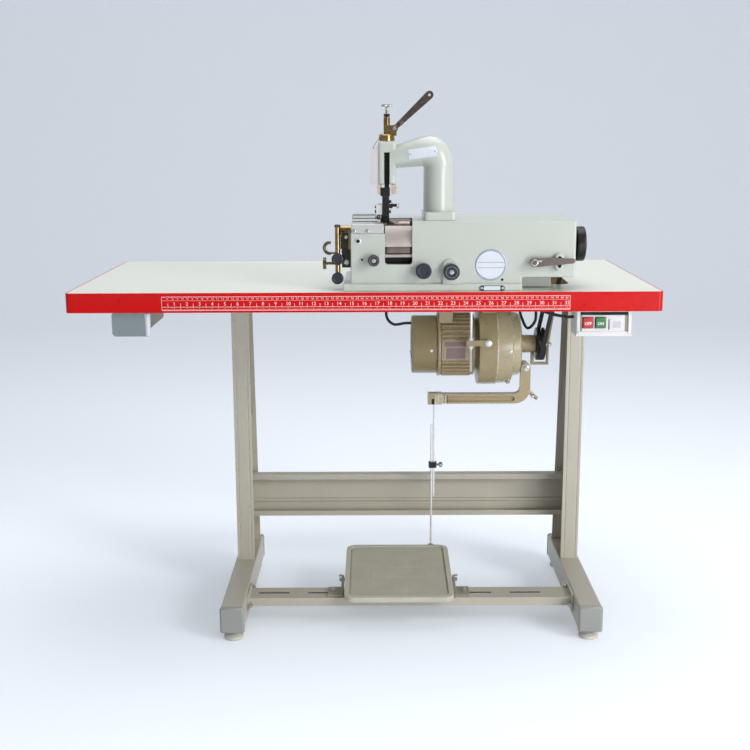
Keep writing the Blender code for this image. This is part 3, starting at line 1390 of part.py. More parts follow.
def pull_rod(steel):
    """Two rods side by side in a clamp, hung by a hook in the lever's end."""
    bend = ROD_HOOK_REACH - ROD_RADIUS
    hook = arc((LEVER_Y + bend, HOOK_Z - bend), bend, math.pi, math.pi / 2, 3)
    points = [(HOOK_X, LEVER_Y, HOOK_Z - UPPER_ROD_LENGTH)]
    points += [(HOOK_X, y, z) for y, z in hook]
    points.append((HOOK_X, LEVER_Y + ROD_HOOK_REACH, HOOK_Z))
    upper = tube("pull_rod_upper", points, ROD_RADIUS, steel)
    lower_x = HOOK_X - ROD_SPACING
    top_z = HOOK_Z - UPPER_ROD_LENGTH + LOWER_ROD_OVERLAP
    eye_z = AXLE_Z + (LEVER_Y - AXLE_Y) * math.sin(PEDAL_TILT) + PEDAL_LIFT
    lower = rod(
        "pull_rod_lower", ROD_RADIUS, (lower_x, LEVER_Y, eye_z - ROD_TAIL),
        (lower_x, LEVER_Y, top_z), steel, 8,
    )
    clamp_z = HOOK_Z - CLAMP_DROP
    clamp = block(
        "clamp_tool",
        (lower_x - CLAMP_WALL - ROD_RADIUS, LEVER_Y - CLAMP_DEPTH / 2, clamp_z - CLAMP_HEIGHT / 2),
        (HOOK_X + CLAMP_WALL + ROD_RADIUS, LEVER_Y + CLAMP_DEPTH / 2, clamp_z + CLAMP_HEIGHT / 2),
    )
    weld(lower, clamp)
    bore = rod(
        "clamp_bore_tool", clear_of(ROD_RADIUS, FIT, 12),
        (HOOK_X, LEVER_Y, clamp_z - CLAMP_HEIGHT), (HOOK_X, LEVER_Y, clamp_z + CLAMP_HEIGHT),
        steps=12,
    )
    cut(lower, bore)
    face_x = HOOK_X + CLAMP_WALL + ROD_RADIUS - WELD_DEPTH
    screw = rod(
        "clamp_screw_tool", CLAMP_SCREW_RADIUS, (face_x, LEVER_Y, clamp_z),
        (face_x + CLAMP_SCREW_LENGTH, LEVER_Y, clamp_z), steps=12,
    )
    weld(lower, screw)
    pivot("pull_rod_hook", (HOOK_X, LEVER_Y, HOOK_Z), upper, lower)


def switch_box(moulding, red, green):
    """The switch under the table's right front corner, with a recessed face and two buttons."""
    top_z = TABLE_UNDER_Z - FIT
    low_z = top_z - SWITCH_HEIGHT
    right_x = SWITCH_LEFT_X + SWITCH_WIDTH
    box = block(
        "switch_box", (SWITCH_LEFT_X, SWITCH_FRONT_Y, low_z),
        (right_x, SWITCH_FRONT_Y + SWITCH_DEPTH, top_z), moulding,
    )
    soften(box, SWITCH_EDGE, 2)
    face_y = SWITCH_FRONT_Y + SWITCH_RECESS
    recess = block(
        "switch_recess_tool", (SWITCH_LEFT_X + SWITCH_RIM, SWITCH_FRONT_Y - OVERRUN, low_z + SWITCH_RIM),
        (right_x - SWITCH_RIM, face_y, top_z - SWITCH_RIM),
    )
    cut(box, recess)
    middle_z = (low_z + top_z) / 2
    start_x = SWITCH_LEFT_X + SWITCH_RIM + BUTTON_INSET
    for i, (name, plastic) in enumerate((("off_button", red), ("on_button", green))):
        x = start_x + i * BUTTON_PITCH
        front = face_y - BUTTON_PROUD
        low = (x, front, middle_z - BUTTON_HEIGHT / 2)
        high = (x + BUTTON_WIDTH, front + BUTTON_DEPTH, middle_z + BUTTON_HEIGHT / 2)
        pocket = block(
            name + "_pocket_tool", [value - RUN_GAP for value in low],
            (high[0] + RUN_GAP, high[1] + BUTTON_TRAVEL + RUN_GAP, high[2] + RUN_GAP),
        )
        cut(box, pocket)
        button = soften(block(name, low, high, plastic), BUTTON_EDGE)
        pivot(name + "_seat", (x + BUTTON_WIDTH / 2, front, middle_z), button)


def tapered_tray(name, low, high, taper, material=None):
    """A box whose floor is smaller than its top by a taper on each side."""
    tray = block(name, low, high, material)
    width = high[0] - low[0]
    length = high[1] - low[1]
    for vertex in tray.data.vertices:
        if vertex.co.z < 0.0:
            vertex.co.x *= (width - 2 * taper) / width
            vertex.co.y *= (length - 2 * taper) / length
    return tray


def drawer(moulding, sheet):
    """A plastic tool drawer under the table's left end, hung by its flanges in a steel runner."""
    middle_x = DRAWER_LEFT_X + DRAWER_WIDTH / 2
    top_z = TABLE_UNDER_Z - FIT
    run_half = DRAWER_WIDTH / 2 - RUNNER_SHEET
    flange_top = top_z - RUNNER_SHEET - RUNNER_GAP
    flange_low = flange_top - DRAWER_WALL
    floor_z = top_z - DRAWER_HEIGHT
    half = run_half - RUNNER_SHEET - RUNNER_LIP - RUNNER_GAP
    front = DRAWER_FRONT_Y + DRAWER_FACE / 2
    back = DRAWER_FRONT_Y + DRAWER_LENGTH
    tray = tapered_tray(
        "drawer", (middle_x - half, front, floor_z), (middle_x + half, back, flange_top),
        DRAWER_TAPER, moulding,
    )
    flange_half = run_half - RUNNER_SHEET - RUNNER_GAP
    flange = block(
        "drawer_flange_tool", (middle_x - flange_half, front + RUN_GAP, flange_low),
        (middle_x + flange_half, back - RUN_GAP, flange_top - RUN_GAP),
    )
    weld(tray, flange)
    wall = DRAWER_WALL
    hollow = tapered_tray(
        "drawer_hollow_tool",
        (middle_x - half + wall, DRAWER_FRONT_Y + DRAWER_FACE + DRAWER_TAPER, floor_z + wall),
        (middle_x + half - wall, back - wall, flange_top + OVERRUN), DRAWER_TAPER,
    )
    cut(tray, hollow)
    face_outline = rounded_box(
        (middle_x - DRAWER_WIDTH / 2, floor_z - RUN_GAP),
        (middle_x + DRAWER_WIDTH / 2, top_z - RUN_GAP), DRAWER_FACE_CORNER,
    )
    face_y = DRAWER_FRONT_Y + DRAWER_FACE / 2
    face = plate("drawer_face_tool", [face_outline], DRAWER_FACE, (0.0, face_y, 0.0), IN_XZ)
    weld(tray, face)
    pivot("drawer_slide", (middle_x, DRAWER_FRONT_Y, flange_low), tray)
    web = top_z - RUNNER_SHEET / 2
    leg = run_half - RUNNER_SHEET / 2
    lip_z = flange_low - RUNNER_GAP - RUNNER_SHEET / 2
    line = [
        (middle_x - leg + RUNNER_LIP, lip_z), (middle_x - leg, lip_z), (middle_x - leg, web),
        (middle_x + leg, web), (middle_x + leg, lip_z), (middle_x + leg - RUNNER_LIP, lip_z),
    ]
    start = DRAWER_FRONT_Y + DRAWER_FACE + FIT
    bent_sheet("drawer_runner", line, start, back, RUNNER_SHEET, sheet, along="Y")


def head_base(enamel):
    """The bedplate under the head, with its low tail under the hood."""
    low_z = TABLE_TOP_Z + FIT
    left = HEAD_LEFT_X - BASE_OVERHANG_LEFT
    right = HOOD_LEFT_X
    tail_right = BELT_X - BELT_WIDTH / 2 - BASE_TAIL_GAP
    front = HEAD_FRONT_Y - BASE_OVERHANG_FRONT
    bed = block(
        "head_base", (left, front, low_z), (right, HEAD_BACK_Y, low_z + BASE_THICK), enamel,
    )
    soften(bed, BASE_EDGE, 2)
    tail = block(
        "head_base_tail_tool",
        (right + FIT, HEAD_FRONT_Y + BASE_TAIL_INSET, low_z + RUN_GAP),
        (tail_right, HEAD_BACK_Y - RUN_GAP, low_z + BASE_TAIL_HEIGHT),
    )
    neck = block(
        "head_base_neck_tool",
        (right - WELD_DEPTH, HEAD_FRONT_Y + BASE_TAIL_INSET + BASE_EDGE,
         low_z + BASE_EDGE),
        (right + BASE_EDGE + WELD_DEPTH, HEAD_BACK_Y - BASE_EDGE,
         low_z + BASE_THICK - BASE_EDGE),
    )
    weld(bed, soften(tail, BASE_EDGE))
    weld(bed, neck)


def front_knob_places():
    """X, Z, radius and name of the three knobs on the head's front face."""
    return (
        (HEAD_LEFT_X + KNOB_A_OFFSET, HEAD_TOP_Z - KNOB_A_DROP, KNOB_A_RADIUS, "stone_knob"),
        (HEAD_LEFT_X + KNOB_B_OFFSET, HEAD_TOP_Z - KNOB_B_DROP, KNOB_B_RADIUS, "knife_feed_knob"),
        (HEAD_LEFT_X + KNOB_C_OFFSET, HEAD_TOP_Z - KNOB_C_DROP, KNOB_C_RADIUS, "roller_lift_knob"),
    )


def head_body(enamel):
    """The cast head: a long box whose right end is raised into a hood over the head pulley."""
    low_z = TABLE_TOP_Z + FIT + BASE_THICK + FIT
    hood_z = TABLE_TOP_Z + HOOD_CLEARANCE
    outline = [
        (HEAD_LEFT_X, low_z), (HOOD_LEFT_X, low_z), (HOOD_LEFT_X, hood_z),
        (HEAD_RIGHT_X, hood_z), (HEAD_RIGHT_X, HEAD_TOP_Z), (HEAD_LEFT_X, HEAD_TOP_Z),
    ]
    middle = (0.0, (HEAD_FRONT_Y + HEAD_BACK_Y) / 2, 0.0)
    body = plate("head_body", [outline], HEAD_DEPTH, middle, IN_XZ, enamel)
    soften(body, HEAD_EDGE, 2)
    boss_x = HEAD_LEFT_X + BOSS_OFFSET
    boss_z = HEAD_TOP_Z - BOSS_DROP
    inside_y = HEAD_FRONT_Y + WELD_DEPTH
    boss = rod(
        "knob_boss_tool", BOSS_RADIUS, (boss_x, HEAD_FRONT_Y - BOSS_PROUD, boss_z),
        (boss_x, inside_y, boss_z),
    )
    skirt = block(
        "knob_skirt_tool", (boss_x - BOSS_RADIUS + RUN_GAP, HEAD_FRONT_Y - BOSS_PROUD + RUN_GAP, low_z),
        (boss_x + BOSS_RADIUS - RUN_GAP, inside_y, boss_z),
    )
    weld(body, boss)
    weld(body, skirt)
    cut_throat(body)
    cut_hood(body)
    cut_shaft_bores(body)
    for x, z, radius, name in front_knob_places():
        bore = rod(
            name + "_bore_tool", clear_of(KNOB_STEM_RADIUS, RUN_GAP),
            (x, HEAD_FRONT_Y - BOSS_PROUD - OVERRUN, z),
            (x, HEAD_FRONT_Y + KNOB_BORE_DEPTH + RUN_GAP, z),
        )
        cut(body, bore)
    lever_x = HEAD_LEFT_X + STONE_LEVER_OFFSET
    lever_z = HEAD_TOP_Z - STONE_LEVER_DROP
    lever_bore = rod(
        "stone_lever_bore_tool", clear_of(STONE_LEVER_BOLT, RUN_GAP),
        (lever_x, HEAD_FRONT_Y - OVERRUN, lever_z),
        (lever_x, HEAD_FRONT_Y + HOOD_WALL + OVERRUN, lever_z),
    )
    cut(body, lever_bore)


def cut_throat(body):
    """The step for the throat plate, the window, and the round chamber that the knife runs in."""
    over = OVERRUN
    step = block(
        "throat_step_tool",
        (HEAD_LEFT_X - over, HEAD_FRONT_Y - over, HEAD_TOP_Z - THROAT_DROP - FIT),
        (WINDOW_LEFT_X + RUN_GAP, HEAD_FRONT_Y + THROAT_DEPTH + FIT, HEAD_TOP_Z + over),
    )
    window = rounded_box(
        (WINDOW_LEFT_X, HEAD_TOP_Z - WINDOW_HEIGHT),
        (WINDOW_RIGHT_X, HEAD_TOP_Z + 2 * WINDOW_CORNER), WINDOW_CORNER, 3,
    )
    depth = 2 * AXIS_SETBACK
    window_middle = (0.0, HEAD_FRONT_Y, 0.0)
    chamber = rod(
        "knife_chamber_tool", clear_of(GUARD_OUTER_RADIUS, FIT, CHAMBER_STEPS),
        (CHAMBER_LEFT_X, AXIS_Y, AXIS_Z), (CHAMBER_RIGHT_X, AXIS_Y, AXIS_Z), steps=CHAMBER_STEPS,
    )
    cut(body, step)
    cut(body, chamber)
    cut(body, plate("window_tool", [window], depth, window_middle, IN_XZ))


def cut_hood(body):
    """The hollow over the pulley, open below for the belt and at the right for the handwheel."""
    wall = HOOD_WALL
    hollow = block(
        "hood_hollow_tool",
        (HOOD_LEFT_X + wall, HEAD_FRONT_Y + wall, TABLE_TOP_Z + HOOD_CLEARANCE - OVERRUN),
        (HEAD_RIGHT_X - wall, HEAD_BACK_Y - wall, HEAD_TOP_Z - wall),
    )
    mouth = rod(
        "hood_mouth_tool", HOOD_MOUTH_RADIUS, (HEAD_RIGHT_X - wall - OVERRUN, AXIS_Y, AXIS_Z),
        (HEAD_RIGHT_X + OVERRUN, AXIS_Y, AXIS_Z), steps=FINE_STEPS,
    )
    cut(body, hollow)
    cut(body, mouth)


def cut_shaft_bores(body):
    """Bores for the main shaft, the feed roller and the sharpening stone."""
    main = rod(
        "main_bore_tool", clear_of(SHAFT_RADIUS, FIT),
        (CHAMBER_RIGHT_X - OVERRUN, AXIS_Y, AXIS_Z),
        (HOOD_LEFT_X + HOOD_WALL + OVERRUN, AXIS_Y, AXIS_Z),
    )
    roller = rod(
        "roller_pocket_tool", ROLLER_RADIUS + ROLLER_AIR,
        (ROLLER_LEFT_X - ROLLER_AIR, AXIS_Y, ROLLER_Z), (CHAMBER_LEFT_X + OVERRUN, AXIS_Y, ROLLER_Z),
    )
    roller_shaft = rod(
        "roller_shaft_tool", clear_of(ROLLER_SHAFT_RADIUS, RUN_GAP),
        (HEAD_LEFT_X - OVERRUN, AXIS_Y, ROLLER_Z), (ROLLER_LEFT_X, AXIS_Y, ROLLER_Z),
    )
    stone_y = AXIS_Y + STONE_SETBACK
    stone_z = AXIS_Z - STONE_DROP
    stone_right = KNIFE_EDGE_X - STONE_AIR
    stone_left = stone_right - STONE_LENGTH
    stone = rod(
        "stone_pocket_tool", STONE_RADIUS + STONE_AIR, (stone_left - STONE_AIR, stone_y, stone_z),
        (stone_right, stone_y, stone_z),
    )
    stone_shaft = rod(
        "stone_shaft_tool", clear_of(STONE_SHAFT_RADIUS, FIT),
        (stone_left - STONE_SHAFT_LENGTH - FIT, stone_y, stone_z), (stone_right, stone_y, stone_z),
    )
    for tool in (main, roller, roller_shaft, stone, stone_shaft):
        cut(body, tool)


def throat_plate(steel):
    """The steel plate that the leather slides on, grooved, with a slot for the feed roller."""
    low_z = HEAD_TOP_Z - THROAT_DROP
    right_x = WINDOW_LEFT_X - THROAT_INSET
    bed = block(
        "throat_plate", (HEAD_LEFT_X + THROAT_INSET, HEAD_FRONT_Y, low_z),
        (right_x, HEAD_FRONT_Y + THROAT_DEPTH, THROAT_TOP_Z), steel,
    )
    soften(bed, THROAT_EDGE)
    slot = rod(
        "throat_roller_tool", ROLLER_RADIUS + ROLLER_AIR,
        (ROLLER_LEFT_X - ROLLER_AIR, AXIS_Y, ROLLER_Z), (right_x + OVERRUN, AXIS_Y, ROLLER_Z),
    )
    channel = rod(
        "throat_shaft_tool", clear_of(ROLLER_SHAFT_RADIUS, RUN_GAP),
        (HEAD_LEFT_X - OVERRUN, AXIS_Y, ROLLER_Z), (ROLLER_LEFT_X, AXIS_Y, ROLLER_Z),
    )
    cut(bed, slot)
    cut(bed, channel)
    for i in range(THROAT_GROOVES):
        y = HEAD_FRONT_Y + THROAT_GROOVE_START + i * THROAT_GROOVE_PITCH
        groove = block(
            "throat_groove_tool_" + str(i),
            (HEAD_LEFT_X - OVERRUN, y - THROAT_GROOVE_WIDTH / 2, THROAT_TOP_Z - THROAT_GROOVE),
            (right_x + OVERRUN, y + THROAT_GROOVE_WIDTH / 2, THROAT_TOP_Z + OVERRUN),
        )
        cut(bed, groove)


def guard_sector(inner, outer, top, foot):
    """The outline in Y and Z of a piece of ring in front of the knife, between two angles."""
    centre = (AXIS_Y, AXIS_Z)
    outline = arc(centre, outer, math.pi - top, math.pi - foot, GUARD_STEPS)
    return outline + arc(centre, inner, math.pi - foot, math.pi - top, GUARD_STEPS)


def knife_guard(steel):
    """The curved steel guard in the window, with a slot that shows the knife, and two beads."""
    left = CHAMBER_LEFT_X + FIT
    right = CHAMBER_RIGHT_X - FIT
    middle = ((left + right) / 2, 0.0, 0.0)
    shell = guard_sector(
        GUARD_INNER_RADIUS, GUARD_OUTER_RADIUS, GUARD_TOP_ANGLE, GUARD_FOOT_ANGLE,
    )
    guard = plate("knife_guard", [shell], right - left, middle, IN_YZ, steel)
    opening = guard_sector(
        GUARD_INNER_RADIUS - OVERRUN, GUARD_OUTER_RADIUS + OVERRUN,
        GUARD_SLOT_TOP_ANGLE, GUARD_SLOT_FOOT_ANGLE,
    )
    width = right - left - 2 * GUARD_STILE
    cut(guard, plate("guard_slot_tool", [opening], width, middle, IN_YZ))
    bead_radius = (GUARD_INNER_RADIUS + GUARD_OUTER_RADIUS) / 2
    for i, angle in enumerate((GUARD_SLOT_TOP_ANGLE, GUARD_FOOT_ANGLE)):
        y = AXIS_Y - bead_radius * math.cos(angle)
        z = AXIS_Z + bead_radius * math.sin(angle)
        bead = rod(
            "guard_bead_tool_" + str(i), GUARD_BEAD_RADIUS, (WINDOW_LEFT_X + RUN_GAP, y, z),
            (WINDOW_RIGHT_X - RUN_GAP, y, z), steps=12,
        )
        weld(guard, bead)


def bell_knife(steel):
    """The bell knife: a thin cup, bevelled to its edge, on a hub."""
    back = KNIFE_LENGTH
    inner = KNIFE_RADIUS - KNIFE_WALL
    bore = clear_of(SHAFT_RADIUS, FIT, FINE_STEPS)
    floor = back - KNIFE_BACK
    profile = [
        (bore, back), (KNIFE_RADIUS - KNIFE_BACK_EDGE, back),
        (KNIFE_RADIUS, back - KNIFE_BACK_EDGE), (KNIFE_RADIUS, 0.0),
        (KNIFE_RADIUS - KNIFE_LAND, 0.0), (inner, KNIFE_BEVEL), (inner, floor),
        (KNIFE_HUB_RADIUS, floor), (KNIFE_HUB_RADIUS, floor - KNIFE_HUB_DEPTH),
        (bore, floor - KNIFE_HUB_DEPTH),
    ]
    return turned(
        "bell_knife", profile, (KNIFE_EDGE_X, AXIS_Y, AXIS_Z), ALONG_X, steel, KNIFE_STEPS,
    )


def main_shaft(steel):
    """The main shaft, from inside the knife's hub to the face of the handwheel."""
    start = KNIFE_EDGE_X + KNIFE_LENGTH - KNIFE_BACK - KNIFE_HUB_DEPTH
    end = HEAD_RIGHT_X + HANDWHEEL_GAP + HANDWHEEL_WIDTH - HANDWHEEL_DISH
    collar_low = HOOD_LEFT_X + HOOD_WALL + FIT - start
    collar_top = collar_low + SHAFT_COLLAR_LENGTH
    length = end - start
    profile = [
        (0.0, length), (SHAFT_RADIUS, length), (SHAFT_RADIUS, collar_top),
        (SHAFT_COLLAR_RADIUS, collar_top), (SHAFT_COLLAR_RADIUS, collar_low),
        (SHAFT_RADIUS, collar_low), (SHAFT_RADIUS, 0.0), (0.0, 0.0),
    ]
    return turned("main_shaft", profile, (start, AXIS_Y, AXIS_Z), ALONG_X, steel, ROUND_STEPS)


def handwheel(iron):
    """The head pulley and the handwheel, one casting on a long hub, dished on its outer face."""
    bore = clear_of(SHAFT_RADIUS, FIT)
    low = HEAD_RIGHT_X + HANDWHEEL_GAP - BELT_X
    top = low + HANDWHEEL_WIDTH
    half = PULLEY_WIDTH / 2
    edge = HANDWHEEL_EDGE
    rim = HANDWHEEL_RADIUS
    dish = top - HANDWHEEL_DISH
    profile = [
        (bore, dish), (rim - HANDWHEEL_RIM, dish), (rim - HANDWHEEL_RIM, top),
        (rim - edge, top), (rim, top - edge), (rim, low + edge), (rim - edge, low),
        (HANDWHEEL_HUB_RADIUS, low), (HANDWHEEL_HUB_RADIUS, half),
    ]
    profile += pulley_face(HEAD_PULLEY_RADIUS) + [(bore, -half)]
    return turned("handwheel", profile, (BELT_X, AXIS_Y, AXIS_Z), ALONG_X, iron)


def rotating_head(steel, iron):
    """Knife, main shaft and handwheel turn together on the main axis."""
    pieces = (bell_knife(steel), main_shaft(steel), handwheel(iron))
    pivot("main_axis", (KNIFE_EDGE_X, AXIS_Y, AXIS_Z), *pieces)


def feed_roller(steel):
    """The grooved roller under the presser foot, on a shaft that leaves at the left."""
    left = HEAD_LEFT_X - FIT - SIDE_PLATE_THICK - ROLLER_SHAFT_OUT
    length = ROLLER_RIGHT_X - left
    waist = ROLLER_LEFT_X - left
    edge = ROLLER_EDGE
    profile = [
        (0.0, length), (ROLLER_RADIUS - edge, length), (ROLLER_RADIUS, length - edge),
        (ROLLER_RADIUS, waist + edge), (ROLLER_RADIUS - edge, waist),
        (ROLLER_SHAFT_RADIUS, waist), (ROLLER_SHAFT_RADIUS, 0.0), (0.0, 0.0),
    ]
    roller = turned("feed_roller", profile, (left, AXIS_Y, ROLLER_Z), ALONG_X, steel, ROUND_STEPS)
    pivot("roller_axis", (left, AXIS_Y, ROLLER_Z), roller)


def sharpening_stone(stone):
    """The grinding stone that faces the knife's edge from below, on its own short shaft."""
    y = AXIS_Y + STONE_SETBACK
    z = AXIS_Z - STONE_DROP
    left = KNIFE_EDGE_X - STONE_AIR - STONE_LENGTH - STONE_SHAFT_LENGTH
    waist = STONE_SHAFT_LENGTH
    length = waist + STONE_LENGTH
    profile = [
        (0.0, length), (STONE_RADIUS, length), (STONE_RADIUS, waist),
        (STONE_SHAFT_RADIUS, waist), (STONE_SHAFT_RADIUS, 0.0), (0.0, 0.0),
    ]
    wheel = turned("sharpening_stone", profile, (left, y, z), ALONG_X, stone, ROUND_STEPS)
    pivot("stone_axis", (left, y, z), wheel)


def knob(name, x, face_y, z, radius, width, standoff, stem, depth, plastic):
    """A turned knob on a stem that runs back into its bore, with a shallow dish in its face."""
    top = standoff + width
    edge = KNOB_EDGE
    dish = radius * KNOB_DISH_SHARE
    profile = [
        (0.0, top - KNOB_DISH), (dish, top - KNOB_DISH), (dish + KNOB_DISH, top),
        (radius - edge, top), (radius, top - edge), (radius, standoff + edge),
        (radius - edge, standoff), (stem, standoff), (stem, -depth), (0.0, -depth),
    ]
    piece = turned(name, profile, (x, face_y, z), TOWARDS_FRONT, plastic, ROUND_STEPS)
    pivot(name + "_axis", (x, face_y, z), piece)


def front_knobs(plastic):
    """The three adjusting knobs on the head's front face."""
    for x, z, radius, name in front_knob_places():
        knob(
            name, x, HEAD_FRONT_Y, z, radius, KNOB_WIDTH, KNOB_STANDOFF, KNOB_STEM_RADIUS,
            KNOB_BORE_DEPTH, plastic,
        )


def stone_lever(steel):
    """The flat lever on the front of the hood, on a bolt through the wall."""
    x = HEAD_LEFT_X + STONE_LEVER_OFFSET
    z = HEAD_TOP_Z - STONE_LEVER_DROP
    outline = open_belt_path(
        x, z, STONE_LEVER_HUB, x + STONE_LEVER_LENGTH, z + STONE_LEVER_TIP_RISE, STONE_LEVER_TIP,
        ARC_STEPS,
    )
    back = HEAD_FRONT_Y - STONE_LEVER_STANDOFF
    centre = (0.0, back - STONE_LEVER_THICK / 2, 0.0)
    lever = plate("stone_lever", [outline], STONE_LEVER_THICK, centre, IN_XZ, steel)
    bolt = rod(
        "stone_lever_bolt_tool", STONE_LEVER_BOLT,
        (x, back - STONE_LEVER_THICK - STONE_LEVER_BOLT_PROUD, z), (x, HEAD_FRONT_Y + HOOD_WALL, z),
    )
    weld(lever, bolt)
    pivot("stone_lever_axis", (x, HEAD_FRONT_Y, z), lever)


def lever_rest(enamel):
    """The block on the hood's front face that the lever lies against."""
    x = HEAD_LEFT_X + REST_OFFSET
    z = HEAD_TOP_Z - STONE_LEVER_DROP
    rest = block(
        "lever_rest",
        (x - REST_WIDTH / 2, HEAD_FRONT_Y - REST_PROUD, z - REST_HEIGHT / 2),
        (x + REST_WIDTH / 2, HEAD_FRONT_Y - FIT, z + REST_HEIGHT / 2), enamel,
    )
    soften(rest, REST_EDGE, 2)


def side_bracket(iron):
    """The dark bracket bolted to the head's left end, with a saddle for the roller's yoke."""
    front = HEAD_FRONT_Y + SIDE_PLATE_FRONT
    back = front + SIDE_PLATE_DEPTH
    waist = front + SIDE_WAIST_DEPTH
    top = HEAD_TOP_Z - SIDE_PLATE_TOP_DROP
    waist_z = HEAD_TOP_Z - SIDE_PLATE_WAIST_DROP
    shoulder_z = HEAD_TOP_Z - SIDE_PLATE_SHOULDER_DROP
    foot_z = HEAD_TOP_Z - SIDE_PLATE_FOOT_DROP
    outline = [
        (front, foot_z), (back, foot_z), (back, shoulder_z), (waist, shoulder_z),
        (waist, waist_z), (back, waist_z), (back, top), (front, top),
    ]
    x = HEAD_LEFT_X - FIT - SIDE_PLATE_THICK / 2
    bracket = plate("side_bracket", [outline], SIDE_PLATE_THICK, (x, 0.0, 0.0), IN_YZ, iron)
    saddle = rod(
        "yoke_saddle_tool", clear_of(YOKE_RADIUS, FIT),
        (x - SIDE_PLATE_THICK, AXIS_Y, ROLLER_Z), (x + SIDE_PLATE_THICK, AXIS_Y, ROLLER_Z),
    )
    cut(bracket, saddle)


def side_knob_places():
    """Z and name of the two knobs on the brass post."""
    return (
        (HEAD_TOP_Z - UPPER_KNOB_DROP, "roller_tilt_knob"),
        (HEAD_TOP_Z - LOWER_KNOB_DROP, "edge_guide_knob"),
    )


def roller_yoke(brass):
    """The brass yoke round the roller's shaft and the post that carries the two side knobs."""
    post_x = HEAD_LEFT_X - POST_OUT
    post_y = HEAD_FRONT_Y + POST_SETBACK
    right = HEAD_LEFT_X - FIT
    yoke = rod(
        "roller_yoke", YOKE_RADIUS, (post_x - POST_RADIUS, AXIS_Y, ROLLER_Z),
        (right, AXIS_Y, ROLLER_Z), brass,
    )
    post = rod(
        "yoke_post_tool", POST_RADIUS, (post_x, post_y, HEAD_TOP_Z - POST_FOOT_DROP),
        (post_x, post_y, HEAD_TOP_Z - POST_TOP_DROP), steps=16,
    )
    arm = block(
        "yoke_arm_tool",
        (post_x - POST_RADIUS + RUN_GAP, post_y, ROLLER_Z - POST_RADIUS),
        (post_x + POST_RADIUS - RUN_GAP, AXIS_Y, ROLLER_Z + POST_RADIUS),
    )
    weld(yoke, arm)
    weld(yoke, post)
    wing_z = HEAD_TOP_Z - WING_SCREW_DROP
    wing = rod(
        "wing_screw_tool", WING_SCREW_RADIUS, (post_x, post_y, wing_z),
        (post_x - WING_SCREW_LENGTH, post_y, wing_z), steps=10,
    )
    head = rod(
        "wing_head_tool", WING_HEAD_RADIUS,
        (post_x - WING_SCREW_LENGTH - WING_HEAD_WIDTH, post_y, wing_z),
        (post_x - WING_SCREW_LENGTH + RUN_GAP, post_y, wing_z), steps=16,
    )
    weld(yoke, wing)
    weld(yoke, head)
    for z, name in side_knob_places():
        boss = rod(
            name + "_boss_tool", KNUCKLE_RADIUS, (post_x, post_y - KNUCKLE_LENGTH / 2, z),
            (post_x, post_y + KNUCKLE_LENGTH / 2, z), steps=16,
        )
        weld(yoke, boss)
    for z, name in side_knob_places():
        bore = rod(
            name + "_bore_tool", clear_of(SIDE_KNOB_STEM, RUN_GAP, 16),
            (post_x, post_y - KNUCKLE_LENGTH, z),
            (post_x, post_y + KNUCKLE_LENGTH / 2 - POST_FLOOR, z), steps=16,
        )
        cut(yoke, bore)
    hook_x = post_x - POST_RADIUS - HOOK_BEND
    hook_z = HEAD_TOP_Z - HOOK_DROP
    hook = [
        (x, post_y, z) for x, z in
        arc((hook_x, hook_z), HOOK_BEND, math.radians(80.0), math.radians(290.0), 6)
    ]
    hook.append((post_x, post_y, hook[-1][2]))
    weld(yoke, tube("yoke_hook_tool", hook, HOOK_RADIUS, detail=1))
    bore = rod(
        "yoke_bore_tool", clear_of(ROLLER_SHAFT_RADIUS, RUN_GAP),
        (post_x - KNUCKLE_LENGTH, AXIS_Y, ROLLER_Z), (right + OVERRUN, AXIS_Y, ROLLER_Z),
    )
    cut(yoke, bore)


def side_knobs(plastic):
    """The two knobs on the brass post at the head's left end."""
    post_x = HEAD_LEFT_X - POST_OUT
    face_y = HEAD_FRONT_Y + POST_SETBACK - KNUCKLE_LENGTH / 2
    depth = KNUCKLE_LENGTH - POST_FLOOR - RUN_GAP
    for z, name in side_knob_places():
        knob(
            name, post_x, face_y, z, SIDE_KNOB_RADIUS, SIDE_KNOB_WIDTH, SIDE_KNOB_STANDOFF,
            SIDE_KNOB_STEM, depth, plastic,
        )


def arm_path():
    """The arm's middle line in X and Z, up the column and over the bend, with its radii."""
    column_x = HEAD_LEFT_X + ARM_OFFSET
    bend_z = HEAD_TOP_Z + ARM_APEX_HEIGHT - ARM_BEND_RADIUS - ARM_RADIUS
    centre = (column_x - ARM_BEND_RADIUS, bend_z)
    bend = arc(centre, ARM_BEND_RADIUS, 0.0, math.pi / 2 + ARM_SLOPE, ARM_BEND_STEPS)
    line = [(column_x, HEAD_TOP_Z + FIT)] + bend
    end_x = PRESS_X
    run = bend[-1][0] - end_x
    line.append((end_x, bend[-1][1] - run * math.tan(ARM_SLOPE)))
    radii = [ARM_RADIUS]
    for i in range(ARM_BEND_STEPS + 1):
        share = i / ARM_BEND_STEPS
        radii.append(ARM_RADIUS + (ARM_MIDDLE_RADIUS - ARM_RADIUS) * share)
    radii.append(ARM_END_RADIUS)
    return line, radii


def fill_bend(casting):
    """Push the outer side of the arm's bend outwards, most at its corner."""
    centre_x = HEAD_LEFT_X + ARM_OFFSET - ARM_BEND_RADIUS
    centre_z = HEAD_TOP_Z + ARM_APEX_HEIGHT - ARM_BEND_RADIUS - ARM_RADIUS
    outer = ARM_BEND_RADIUS + ARM_RADIUS
    sweep = math.pi / 2 + ARM_SLOPE
    for vertex in casting.data.vertices:
        x = vertex.co.x - centre_x
        z = vertex.co.z - centre_z
        share = math.atan2(z, x) / sweep
        if 0.0 < share < 1.0:
            full = ARM_CORNER_FULL * math.sin(math.pi * share ** ARM_CORNER_LATE) ** 2
            grown = 1.0 + full * math.hypot(x, z) / outer ** 2
            vertex.co.x = centre_x + x * grown
            vertex.co.z = centre_z + z * grown


